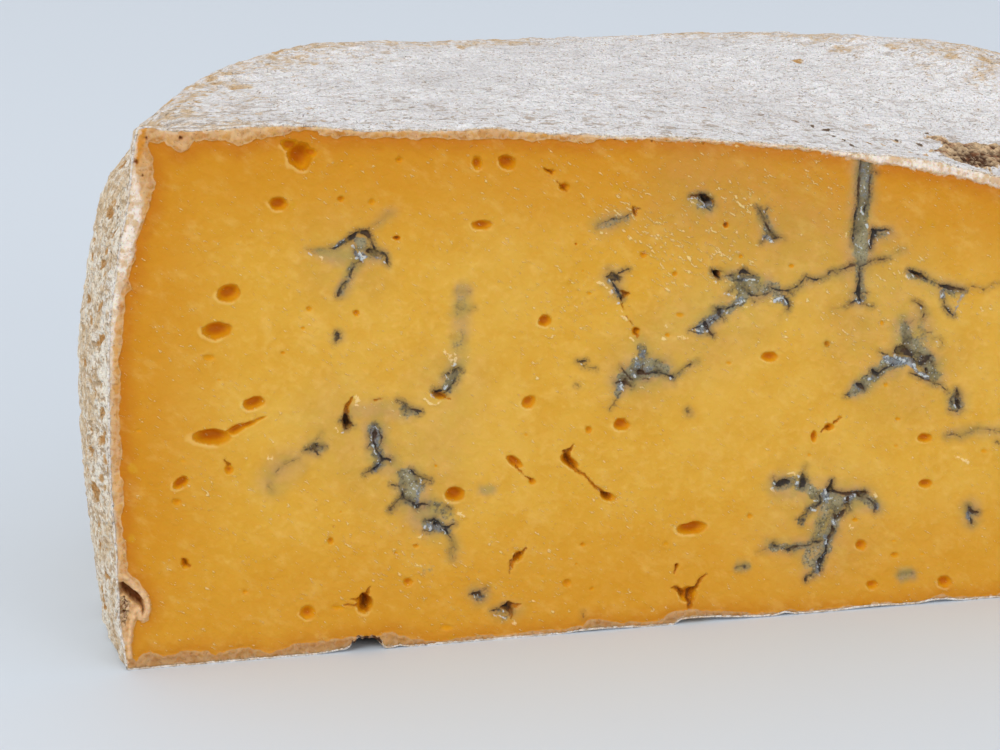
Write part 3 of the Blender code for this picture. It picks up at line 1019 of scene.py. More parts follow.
def make_rind():
    """The rind, with the edge of the cut and the directions into the face along it."""
    pool = Pool(("pit", "patch", "lip", "bare", "cut", "wall"))
    edges = rind_edges(pool)
    add_wall(pool, edges)
    add_top(pool, edges)
    add_base(pool, edges)
    outer, into = add_lip(pool, edges)
    return pool.mesh("cheese_rind"), outer, into


# ---------------------------------------------------------------------------------------------
# Eyes, cracks and veins of the cut face
# ---------------------------------------------------------------------------------------------
PIXELS_PER_MM = 6.1             # along the face, about the middle of the photograph

# Eyes: middle x, y, width, height in pixels, turn in degrees (clockwise), depth against width
EYES = (
    (290.5, 145.5, 19, 13, 10, .5), (300, 156, 27, 27, 0, .6), (311, 153, 13, 10, 0, .5),
    (680, 315, 10, 6, 0, .2), (590, 293.5, 6, 4, 0, .25), (583, 271, 3, 3, 0, .3), (882, 323, 6, 6, 0, .2),
    (886, 385, 6, 6, 0, .2), (840, 417, 6, 4, 0, .2),
    (279, 204, 21, 14, 0, .5), (341, 199, 8, 7, 0, .4), (372, 202, 8, 7, 0, .3), (351, 166, 6, 4, 0, .15),
    (399.5, 160, 8, 6, 0, .4), (397, 238, 9, 5, 0, .5), (477.5, 163, 11, 13, 0, .5),
    (507, 162, 20, 14, 25, .55), (482, 225, 22, 10, 0, .45), (550.5, 171.5, 13, 5, 10, .4),
    (564.5, 187, 12, 8, 0, .5), (576, 244, 3, 3, 0, .5), (229, 293.5, 25, 18, -20, .5),
    (217.5, 330.5, 31, 17, -3, .5), (209, 358, 13, 7, 0, .2), (219, 380, 6, 3, 0, .2),
    (309, 309, 7, 6, 0, .3), (356.5, 313, 8, 7, 0, .4), (303, 328, 5, 4, 0, .3), (283, 353, 6, 4, 0, .4),
    (254, 403, 23, 13, -15, .5), (212, 437, 39, 17, -3, .5), (236, 429.5, 24, 9, -24, .45),
    (246, 425.5, 26, 5.5, -22, .4), (259, 419.5, 20, 3.6, -21, .3), (229, 470, 10, 10, 0, .4),
    (139, 431, 8, 4, 0, .2), (181, 483, 19, 11, -35, .5), (177, 502, 10, 8, 0, .3),
    (183, 461, 8, 5, 0, .12), (185, 564, 9, 11, 0, .5), (331, 541, 7, 8, 0, .4), (334, 527, 3, 3, 0, .4),
    (341, 512, 3, 3, 0, .3), (245, 592, 6, 5, 0, .3), (308, 613, 16, 14, 0, .4), (338, 608, 15, 5, 5, .2),
    (365, 604, 16, 20, 8, .6), (408, 582, 11, 9, 0, .4), (416, 546, 7, 5, 0, .35),
    (396, 553, 5, 4, 0, .3), (447, 628, 14, 7, 0, .15), (439.5, 396, 18, 8, 10, .4),
    (529, 402, 17, 13, -30, .4), (515, 462, 20, 9, 35, .5), (532.6, 482, 8, 7, 0, .45),
    (526, 435, 6, 4, 0, .15), (455.4, 494.6, 21, 16, 0, .55), (545, 321, 15, 12, -20, .5),
    (518, 557, 10, 12, 40, .4), (567, 583, 9, 9, 0, .35), (583, 544.8, 7, 5, 0, .35),
    (592, 589, 6, 5, 0, .3), (543, 576, 6, 4, 0, .12), (576.5, 564, 3, 3, 0, .4),
    (636, 331.5, 9, 9, 45, .45), (667.6, 335, 6, 5, 0, .3),
    (644, 254.6, 9, 7, 0, .35), (675, 274, 7, 6, 0, .35), (726, 225, 6, 7, 0, .5), (690, 228, 3, 3, 0, .4),
    (741, 256.5, 5, 5, 0, .35), (791.6, 266, 7, 5, 0, .3), (717, 274, 8, 8, 0, .5),
    (621.6, 424.6, 17, 13, 0, .5), (589, 430, 8, 8, 0, .4),
    (570, 462, 23, 11, 35, .55), (608, 497, 18, 9, 15, .55), (770, 357, 18, 11, 0, .4),
    (729, 363, 8, 5, 0, .15), (692, 528.6, 32, 13, -8, .5), (666, 544, 8, 6, 0, .15),
    (688, 594, 18, 17, 0, .4), (676.8, 566, 5, 6, 0, .4), (827, 344, 7, 7, 0, .35),
    (830, 427, 11, 8, 0, .45), (814, 437, 7, 13, 0, .5), (809.5, 455, 6, 5, 0, .15),
    (925, 438, 16, 10, 0, .45), (898, 419, 7, 4, 0, .3), (896, 446, 6, 4, 0, .15),
    (925.6, 483.5, 16, 9, 0, .45), (750, 516, 6, 6, 0, .3), (855, 520, 7, 5, 0, .3),
    (861, 545, 12, 11, 0, .45), (895, 555, 9, 6, 0, .35), (894, 541, 6, 4, 0, .15),
    (922, 554, 6, 4, 0, .15), (872, 585, 14, 9, 0, .4), (945, 582, 15, 13, 0, .45),
    (984, 451, 8, 6, 0, .15), (436, 466, 4, 4, 0, .3), (1040, 240, 20, 13, 0, .5),
    (1083, 360, 14, 10, 0, .45), (1065, 500, 24, 13, -10, .5), (1120, 300, 9, 7, 0, .4),
    (1150, 420, 18, 12, 15, .5), (1188, 330, 8, 7, 0, .4), (1110, 555, 13, 10, 0, .45),
    (1212, 470, 15, 10, 0, .45), (1030, 545, 8, 7, 0, .4), (1170, 260, 12, 8, 0, .45),
)
# Cracks in the paste: x, y and half width in pixels
CRACKS = (
    ((228.6, 465, 2.2), (224, 459, .4)), ((365, 596, 3), (371, 587, .5)),
    ((345, 605.5, 1), (358, 605, 1.6)),
    ((359, 598, 1.2), (364, 597, 4.0), (368, 602, 4.6), (366, 609, 4.0)),
    ((432, 392, .8), (440, 396, 2.0), (451, 400, .7)), ((517, 467, 1.6), (524, 475, .9), (532, 481, 1.6)),
    ((526, 549, 1.0), (520, 556, 2.8), (512, 562, 2.0), (510.5, 574, .6)),
    ((637, 335, 1.8), (638, 341, .4)), ((637, 331, 2.0), (641, 329, .5)),
    ((575, 444, .5), (566, 453, 3.2), (572, 466, 2.8), (586, 477, 1.5), (597, 488, 1.7), (608, 497, 3.2)),
    ((374, 401, 1.2), (384, 398, .5)), ((835, 422, 1.8), (843, 417, .4)),
    ((822, 431, 1.3), (829, 428, 2.0)), ((676.8, 566, 1.8), (675, 575, .6)),
    ((671, 589, 1.0), (677, 588, 2.6), (684, 596, 3.4)),
    ((706, 575, 1.0), (698, 584, 2.6), (691, 593, 3.5), (690, 606, 3.0)),
    ((556, 182, .6), (566, 191, 1.6)), ((544, 168, .8), (552, 173, 1.6)),
    ((182, 559, .8), (190, 566, 1.8)),
    ((352, 397, 1.2), (347, 408, 2.6), (346, 416, 3.0), (347, 424, 5.0)),
    ((633, 206, .8), (635, 211, 2.8), (636, 215, 1.6)), ((635, 210, 2.0), (642, 208.5, .5)),
    ((621, 291, 1.2), (625, 294, 3.6), (631, 294, .6)), ((624, 295, 3.0), (622, 300, 1.0)),
    ((623, 303, .8), (622.5, 306, 1.0), (624, 310, .5)),
    ((625, 316, .5), (631, 321, 1.0), (634, 326, .7)),
    ((502, 608, 1.6), (509, 606, 4.6), (516, 606, 2.4), (521, 603, .6)),
    ((509, 601, 1.2), (510, 607, 4.0), (511, 613, 2.4), (512, 620, .7)),
    ((912, 273, 1.4), (918, 276, 2.2), (925, 278, .8)),
    ((712, 271, .6), (716, 274, 2.6), (719, 279, 1.4)),
    ((690, 197, .8), (698, 197, 2.6), (707, 200, 4.2), (713, 203, 1.8)),
    ((350, 600, .5), (360, 600, 2.4)), ((1090, 470, .6), (1103, 478, 2.0), (1118, 482, .6)),
)
# Dark lines and holes of the veins, dark mould and painted shade: how dark, then x, y and half width in
# pixels
VEIN_LINES = (
    # The star at the upper left
    (0.55, ((306, 250, .5), (313, 250.5, .8), (322, 250, .7), (331, 249, .5))),
    (0.9, ((333, 248, .6), (338, 246, 1.1), (344, 242.5, 1.6), (350, 238.5, 2.9), (354, 235, 2.0),
           (357, 232, 1.4), (362, 232, 1.9), (366, 232.5, 2.6), (369, 236, 1.8), (371, 241, 1.1),
           (375, 249, 1.1))),
    (0.6, ((355, 247, .8), (356, 251, 1.3), (355.5, 257, 1.0), (358, 262, 2.0), (355, 265, 1.4))),
    (0.9, ((369, 251, 2.6), (375, 253, 3.2), (379, 252, 1.8), (383, 253.5, 1.4), (387, 257, 1.5),
           (387, 262, 1.3), (388, 265, .6))),
    (0.8, ((360, 262, 1.2), (355, 264, .8))), (0.7, ((354, 267, .8), (351, 273, 1.7), (350, 277, 1.2))),
    (0.75, ((346, 281, 1.2), (344, 285, 2.2), (341, 289, 2.0), (338, 296, 1.4))),
    (0.4, ((368, 228, .7), (373, 226, .9), (380, 221, .4), (389, 214, .4))),
    # The long faint vein and its lower end
    (0.4, ((456, 292, .4), (463, 293, .4), (470, 292.5, 1.0))),
    (0.5, ((457, 306.5, 1.0), (460, 309, 1.2))), (0.5, ((470, 311, 1.0), (470.5, 311.5, .8))),
    (0.5, ((475, 308, .8), (475.5, 308.5, .6))), (0.4, ((462, 332, .6), (462, 338, .8), (465, 341, .8))),
    (0.9, ((454, 371, 1.6), (459, 369, 1.5), (462, 371, .8))), (0.7, ((449, 374, 1.4), (444, 376, .7))),
    (0.8, ((457, 378, .9), (454, 383, 1.1), (450, 388, 1.0), (445, 393, 1.1))),
    (1.0, ((434, 390, .8), (437, 392, 1.7), (442, 391, .8))),
    # The stars left of the middle
    (1.0, ((342, 421, .8), (346, 418, 2.2), (348, 424, 3.0), (346, 429, .8))),
    (0.7, ((349, 423, 2.0), (354, 426, .6))),
    (0.95, ((304, 451, .5), (310, 449, 1.4), (315, 447, 3.0), (320, 446.5, 1.0), (325, 447, .5))),
    (0.7, ((315, 450, 1.6), (318, 455, .6))), (0.5, ((316, 441, .7), (320, 436, .7), (322, 433, .4))),
    (0.5, ((298, 458, .4), (290, 462, .7), (285, 464, 1.0))),
    (0.5, ((280, 468, .5), (277, 471, .9), (275, 473, .5))),
    (0.5, ((270, 482, .5), (269, 487, 1.0), (272, 491, .6))),
    (0.9, ((398, 400, .4), (403, 402, .5), (408, 409, .9), (413, 410, 1.0), (421, 411, .8))),
    (0.6, ((408, 409, .7), (404, 412, .6))), (0.8, ((417, 411, 1.0), (418.5, 414, .5))),
    (0.95, ((375, 425, .6), (375, 430, 1.1), (375, 434, 2.3), (373.5, 440, 1.0), (375, 446, 1.1),
            (377, 451, .8), (380, 455, .9), (382, 459, 1.6), (387, 459, .9), (391, 460.5, .8))),
    (0.75, ((371, 430, .5), (369, 437, .6), (372, 443, .8), (368, 447, .5))),
    (0.75, ((379, 431, .5), (382, 437, .7), (381, 444, .6), (378, 449, .5))),
    (0.95, ((382, 460, 1.2), (379, 465, .8), (375, 469, 1.6), (370, 471, 1.0), (364, 474, .5))),
    (0.95, ((411, 469, .4), (414, 474, .6), (419, 477, 1.0), (425, 479, .9), (431, 480.5, .6))),
    (0.7, ((426, 482, .7), (422, 486, .5))), (0.8, ((391, 484.5, .6), (396, 485.5, .7), (400, 486, .5))),
    (0.95, ((402, 491, .8), (403, 497, 1.7), (405, 500, .8), (411, 502, .6), (415, 503, .6))),
    (0.95, ((402, 497, 1.3), (398, 501, 1.0), (394, 506, .8), (390, 510, 1.3))),
    (0.95, ((413, 504, .6), (417, 507, 1.8), (421, 504, 1.1), (425, 504, .9), (429, 505, .4))),
    (0.5, ((399, 472, .5), (400, 476, .5))), (0.4, ((405, 484, .4), (417, 483, .5))),
    (1.0, ((425, 521, .4), (431, 521, .8), (434, 519, .9), (436, 524, 2.3))),
    (0.85, ((437, 521, 1.0), (442, 526, .9), (447, 528, 1.2), (452, 525, .6), (455, 524, .5))),
    (0.9, ((441, 530, .7), (446, 531, 1.2), (450, 536, .8))),
    (0.8, ((424, 531, .5), (430, 531, .9), (434, 530, .6))),
    (0.65, ((450, 536, .7), (453, 542, .6), (454, 548, 1.1))),
    (0.55, ((450, 551, .9), (453, 556, .8), (452, 560, .4))), (0.7, ((446, 507, .8), (450, 508, 1.0))),
    # Above the middle
    (0.6, ((597, 227, .4), (604, 223, .6), (610, 220.5, .8), (614, 218.5, 1.2), (620, 219.5, .7),
           (625, 218, .8), (631, 214, .5))),
    (0.5, ((611, 227, .4), (616, 225, .6), (620.5, 222.5, .6))),
    (1.0, ((700, 194, .8), (704, 196, 2.2), (708, 200, 3.4), (706, 203, 1.4))),
    (0.6, ((712, 199, 1.2), (714, 206, 1.0))),
    (0.7, ((691, 196, 1.2), (697, 195.5, 1.4), (701, 196, 1.0))),
    (0.7, ((706, 208, 1.4), (710, 210, .6))),
    (0.95, ((757, 207, .5), (760, 211, 1.1), (762, 215, 1.2), (765, 222, 1.1), (767, 226, .8),
            (769, 230, .9), (771, 234, 1.4), (774, 237, 2.1), (778, 238, .9))),
    (0.6, ((767.5, 207, .5), (766.5, 210, .7), (764, 215, .5))),
    (0.7, ((769, 233, .8), (764, 239, .6), (761, 243, .5))),
    (0.6, ((776, 236, .8), (780, 237.5, .8), (784, 239, .4))),
    # The star in the middle and the vein down to it
    (0.72, ((608, 277, 1.8), (613, 277, 4.6), (618, 278, 3.0))),
    (0.8, ((619, 273, 1.0), (624, 271, .6), (629, 269, .7))), (0.6, ((611, 272, .6), (608, 268, .4))),
    (0.9, ((613, 283, .7), (616, 288, 1.1), (618, 292, .9), (622, 299, 1.5))),
    (1.0, ((640, 372.5, 2.9), (643, 372.5, 2.0))), (1.0, ((625.5, 380, 1.8), (625, 383, 2.3))),
    (0.85, ((633, 370, .5), (640, 372, 1.2), (646, 374, 1.0), (652, 373, .9), (659, 372, 2.0),
            (663, 374, .8), (668, 376, .8), (672, 377, 1.4), (674, 378, .7))),
    (0.65, ((674, 377, .8), (680, 372, .8), (686, 367, .9), (690, 365, 1.3), (697, 361, .4))),
    (0.85, ((616, 383, .7), (620, 382, .7), (625, 382, 1.4), (630, 385, 1.2), (632, 386, .8))),
    (0.8, ((621, 367, .6), (625, 372, .9), (629, 378, .9), (633, 380, 1.2))),
    (0.7, ((643, 364, .5), (642, 371, .9))), (0.7, ((640, 378, .6), (648, 379, .8))),
    (0.6, ((622, 392, .5), (618, 396, .8), (615, 402, .7), (610, 409, .5))),
    (0.5, ((640, 348.5, .9), (642, 348, .8))), (0.55, ((640, 354, .7), (646, 355, 1.0), (643, 359, .6))),
    (0.5, ((657, 361, .9), (663, 363, 1.0))), (0.4, ((673, 381, .6), (675, 385, .9))),
    (0.85, ((577, 361, .5), (582, 362, 1.7), (586, 361, .5))),
    (0.65, ((583, 366, 1.0), (590, 367.5, .6), (596, 369, .7))),
    (0.6, ((688, 410, 1.8), (689, 413, 1.6))), (0.6, ((576, 385.5, 1.2), (577.5, 386, .8))),
    # The long vein right of the middle
    (0.95, ((712, 270, .5), (716, 273, 2.4), (719, 277, 1.2))), (0.7, ((720, 271, .8), (725, 274, .6))),
    (0.8, ((725, 276, .5), (731, 275.5, .8), (737, 275.5, .6))),
    (1.0, ((740, 273.5, 1.0), (744, 270.5, 1.5), (745, 272.5, 2.0), (749, 273.5, .9), (755, 276, .4))),
    (0.8, ((737, 280, .9), (741, 281, 1.5), (744, 278.5, .9))),
    (0.7, ((739, 284, .5), (734, 289, .6), (728, 292, .6))),
    (0.75, ((743, 287, .7), (748, 292, 1.3), (752, 295, 1.1), (757, 296, .7), (763, 295, .7),
            (768, 293, .8), (771, 292, .5))),
    (0.85, ((770, 287, .6), (775, 289.5, .7), (780, 291, .8), (787, 291, .8), (793, 289, .7),
            (799, 286, .7), (804.5, 278, .5), (806, 276, .8), (808, 278, .9), (813, 279.5, .7),
            (820, 279.5, .7), (826, 277, .6), (829, 273, .7), (832, 271.5, .9), (836, 272.5, .6),
            (842, 269, .4), (848, 267, .6), (853, 265.5, .9), (857, 264.5, .6))),
    (0.8, ((787, 291, .6), (792, 293.5, 1.2))), (0.6, ((752, 298, .6), (755, 302, 1.0))),
    (0.9, ((783, 296, .6), (787, 300, .9), (789.5, 305, 1.1), (788, 310, .8))),
    (0.35, ((785, 313, .5), (781, 317, .5))), (1.0, ((719, 310.5, 2.0), (719.5, 313.5, 2.0))),
    (0.8, ((714, 308, .5), (720, 309, .8), (727, 309, .9), (737, 304, .4))),
    (0.85, ((721, 317, 1.0), (723.5, 318.5, .8))),
    (0.85, ((716, 321, .8), (712, 319, .9), (710, 323, .8))),
    (1.0, ((705, 322, 1.0), (706, 325, 1.7), (707, 328, 1.1), (709, 332, 1.0), (713, 335, .8))),
    (0.75, ((689, 331, .5), (694, 328.5, .7), (700, 327, .8), (704, 325, 1.1))),
    (0.6, ((691, 331, .6), (697, 333, .6), (704, 333.5, .7))),
    # The channel of a piercing needle, with what branches from it
    (0.85, ((861, 158, .8), (862, 163, .7), (859.5, 172, .9), (859, 180, 1.3), (858.5, 188, 1.2),
            (858.5, 197, 1.3), (859, 202, 1.1), (856, 214, 1.1), (855, 224, 1.3), (854, 232, 1.3),
            (853.5, 241, .9), (853, 245, .4))),
    (0.8, ((871, 163, .6), (872, 168, .9), (871, 175, .5), (870, 182, .9), (870, 188, .8),
           (869.5, 197, 1.1), (868, 203, .5), (866, 206, 1.2), (864.5, 210, .9), (865, 213, .5))),
    (0.7, ((876, 173, .9), (877.5, 173, .8))),
    (1.0, ((873, 230, 1.2), (875, 233, 2.5), (873, 238, 1.8), (871, 244, 1.2), (870.5, 248, 1.2))),
    (0.85, ((876, 230, 1.0), (881, 231, 1.1), (886, 230, .9), (890, 230.5, .7))),
    (0.6, ((875, 236, 2.0), (881, 235, .8))), (0.7, ((850, 265, 1.1), (854, 263, .6), (858, 266, .5))),
    (0.8, ((860, 267, .6), (866, 264, .6), (871, 261, .8), (878, 260, .8), (884, 259.5, .8),
           (889, 258, .6))),
    (0.4, ((889, 258, .7), (895, 255, .6), (900, 252, .6), (905, 249, .4))),
    (0.95, ((860, 266, .5), (860, 272, .5), (860, 280, .8), (859.5, 286, 1.2), (858.7, 293, 2.4),
            (860, 298, 1.1), (861, 302, .8))),
    (0.6, ((867, 293, 1.1), (860, 293, 1.0), (853, 293, .6))),
    (0.7, ((858, 300, .8), (853, 302, 1.1), (848, 305, .8), (844, 307, .5))),
    (0.4, ((841, 309, .5), (836, 310, 1.0), (832, 309, .5))),
    (0.65, ((866, 304, .5), (870, 306.5, 1.2), (873, 306, .6))),
    # The vein at the right edge
    (0.9, ((909, 270.5, .7), (913, 272.5, 1.6), (917, 274.5, 2.0), (922, 275.5, 1.8), (927, 279, .7))),
    (0.65, ((927, 279, .5), (932, 281, .8), (937, 284, .8), (941, 286, .9))),
    (1.0, ((941, 286, .9), (945, 286.5, 1.5), (950, 288, 1.5), (956, 289, 1.1), (962, 290, .9),
           (965, 290, .5))),
    (0.55, ((971, 287, .6), (973, 286.5, 1.4), (980, 288.5, .6), (985, 290, 1.6), (988, 288, .6),
            (995, 284, .5), (1003, 283, .5))),
    (0.75, ((943, 292, .6), (943, 298, .9), (944, 303, .9))),
    (0.95, ((944.5, 306, .9), (948, 310.5, 1.3), (951, 314, .8), (954, 316, .5))),
    (0.75, ((914, 301, .4), (919, 304, .9), (924, 308, 1.1))),
    (0.7, ((922, 309, .4), (925, 314, 1.1), (922, 319, .6))),
    # The star on the right
    (1.0, ((899, 351, 3.8), (903, 350.5, 4.6), (907, 352.5, 3.0))),
    (0.9, ((907, 353, 1.8), (912, 357, 1.2), (915, 359.5, .6))),
    (0.55, ((905, 346, 3.0), (909, 341, 3.2))),
    (0.5, ((909, 351, 3.4), (916, 357, 4.2), (924, 361, 4.0), (933, 364, 2.4))),
    (0.5, ((904, 341, 1.4), (906, 333, 1.6), (907, 326, 1.2), (903, 319, .6))),
    (0.4, ((907, 326, 1.0), (910, 324, .8), (914, 319, .5))),
    (1.0, ((915, 360, .8), (918, 363, 1.8), (922, 364, 1.6), (926, 362, 1.2), (928, 358, 1.5))),
    (0.8, ((920, 360, 1.3), (926, 357, 1.5), (931, 355.5, .9))),
    (0.75, ((931, 361, .6), (934, 366, 1.2))), (0.9, ((926, 370, 1.6), (927, 372, 1.6))),
    (0.75, ((911, 373, .7), (918, 376, .9), (925, 379, .9), (930, 381.5, 1.0), (935, 384, 1.2),
            (940, 385, .7), (948, 392, .5))),
    (1.0, ((957, 390, .8), (957.5, 395, 1.8), (956, 399, 1.3), (958, 404, 2.6), (959, 408, 1.3))),
    (0.65, ((954, 395, .8), (951, 400, 1.0), (952, 405, .8))),
    (0.65, ((949, 410, .8), (953, 411, 1.0), (958, 411, .7))),
    (0.6, ((879, 352, .9), (885, 354, 1.2), (890, 355, .6))),
    (0.8, ((883, 370, .9), (889, 367, 1.0), (893, 365, 1.3))),
    (0.95, ((872, 370, .9), (875, 373.5, 1.9), (879, 374, 1.2), (883, 370, .6))),
    (0.6, ((864, 377, .6), (869, 374, .6))), (0.95, ((857, 384, .9), (861, 386, 2.3), (864, 390, .9))),
    (0.65, ((849, 395, 1.6), (845, 396, .8))), (0.5, ((851, 394, .7), (858, 391, .9))),
    (0.5, ((934, 339, .7), (938, 338, .9), (942, 341, 1.0), (943, 346, .7), (940, 348, .5))),
    (0.5, ((924, 332, .6), (928, 333, .9), (931, 332, .5))),
    # The branching vein at the lower right
    (0.9, ((777, 485, 1.8), (781, 483.5, 3.2), (786, 482, 2.6), (789, 482, 1.2))),
    (0.5, ((773.5, 478, 1.2), (775, 481, 1.2))),
    (0.95, ((803, 475, 1.4), (803.5, 481, 3.2), (802, 486, 2.0))),
    (0.6, ((803, 475, 1.0), (804, 470, 1.1), (806, 466, .8))),
    (1.0, ((832, 480, .6), (831, 485, 1.6), (830, 489.5, 3.2))),
    (0.95, ((832, 491, 1.6), (838, 492.5, 1.0), (843, 494, 1.2), (848, 494, 1.5), (853, 493, .9),
            (857, 493, 1.6), (861, 494.5, 3.2), (865, 493, 2.0))),
    (0.7, ((866, 498, .9), (871, 501, 1.0), (875, 505, 1.8), (876, 509, 1.3), (874, 512, .6))),
    (0.9, ((848, 498, 1.3), (847, 504, 2.3), (848, 508, 1.2))),
    (0.75, ((820, 496, .9), (821, 502, 1.5), (817, 506, 1.5), (812, 507, 1.0))),
    (0.75, ((809, 508, .8), (806, 514, 1.3), (802, 519, 2.0), (801, 524, 1.2))),
    (0.5, ((801, 520, 1.2), (796, 520, 1.0))),
    (0.8, ((846, 510, 1.5), (841, 514, 1.9), (836, 518, 1.7), (834, 514, 1.2))),
    (0.9, ((832, 526, .7), (834, 529, 1.5), (832, 534, 1.8), (829, 538, 1.5), (828, 543, .9))),
    (0.9, ((827, 546, .9), (826, 552, 1.3), (823, 557, 1.3), (820, 562, 2.4), (819, 567, 1.6),
           (820, 571, 1.0))),
    (0.75, ((815, 572, .9), (811, 575, 1.2), (807, 577, 1.1), (805.5, 580, 1.5))),
    (0.75, ((813, 542, 1.1), (818, 542.5, 1.8), (822, 540, .9))),
    (0.8, ((785, 549, 1.1), (790, 549.5, 1.8), (795, 547.5, 1.5), (799, 546, .7), (806, 546, .7),
           (812, 544, .8))),
    (0.85, ((774, 543.5, 1.6), (775, 546, 1.7))),
    (0.45, ((757, 553, .8), (765, 549, .8), (775, 548, .8), (785, 549, .8))),
    # Small ones
    (0.9, ((473, 594, 1.4), (479, 594, 2.1), (482, 597, 1.1))), (0.6, ((484, 591, .9), (487, 588, .7))),
    (0.5, ((478, 599, 1.3), (478, 601, 1.0))),
    (0.95, ((503, 607, 1.3), (507, 608.5, 2.6), (510, 611, 1.6))),
    (0.75, ((492, 611, .8), (497, 610, 1.3), (501, 611, 1.2))),
    (0.8, ((337, 333, 1.4), (338, 337, 2.0), (336, 341, .8))), (0.6, ((338, 335, .9), (342, 333, .5))),
    (0.55, ((945, 436, .6), (951, 434, 1.0), (956, 435, 1.0), (961.5, 437, 1.2), (966, 434, .7),
            (972, 431, .8), (978, 429.5, .8), (985, 429.5, .7), (995, 431, .8), (1004, 433, .8))),
    (0.5, ((997, 442.5, 2.0), (999, 443.5, 1.6))),
    (0.9, ((968, 506, .8), (970, 510, 1.4), (973, 512, 1.8), (978, 512.5, .8))),
    (0.75, ((967.5, 509, .7), (968, 515, .6))), (0.75, ((970, 518, .8), (972, 524, 1.3))),
    (0.55, ((738, 568, 1.6), (745, 567, 1.8))), (0.45, ((900, 575, 1.6), (912, 574, 1.8))),
    (0.45, ((583, 612, 1.0), (583.5, 618, 1.2))), (0.4, ((826.5, 343, 1.4), (827, 346, 1.4))),
    # Where the photograph doesn't show the cut
    (0.9, ((1032, 318, .5), (1042, 322, 1.0), (1050, 327, .9), (1056, 331, 2.6), (1064, 333, 1.0),
           (1071, 334, 1.2), (1084, 328, .5))),
    (0.8, ((1056, 331, 2.0), (1053, 340, .9), (1052, 346, 1.1), (1046, 360, .5))),
    (0.9, ((1118, 372, .5), (1128, 381, 1.2), (1134, 385, .9), (1140, 389, 3.0), (1148, 389, 1.1),
           (1158, 391, .8), (1168, 396, .4))),
    (0.8, ((1139, 390, 2.0), (1136, 399, .8), (1137, 405, 1.1), (1141, 416, .4))),
    (0.85, ((1090, 425, .5), (1099, 435, 1.1), (1103, 441, .8), (1108, 452, 2.2), (1107, 460, .8),
            (1105, 470, .5))),
)
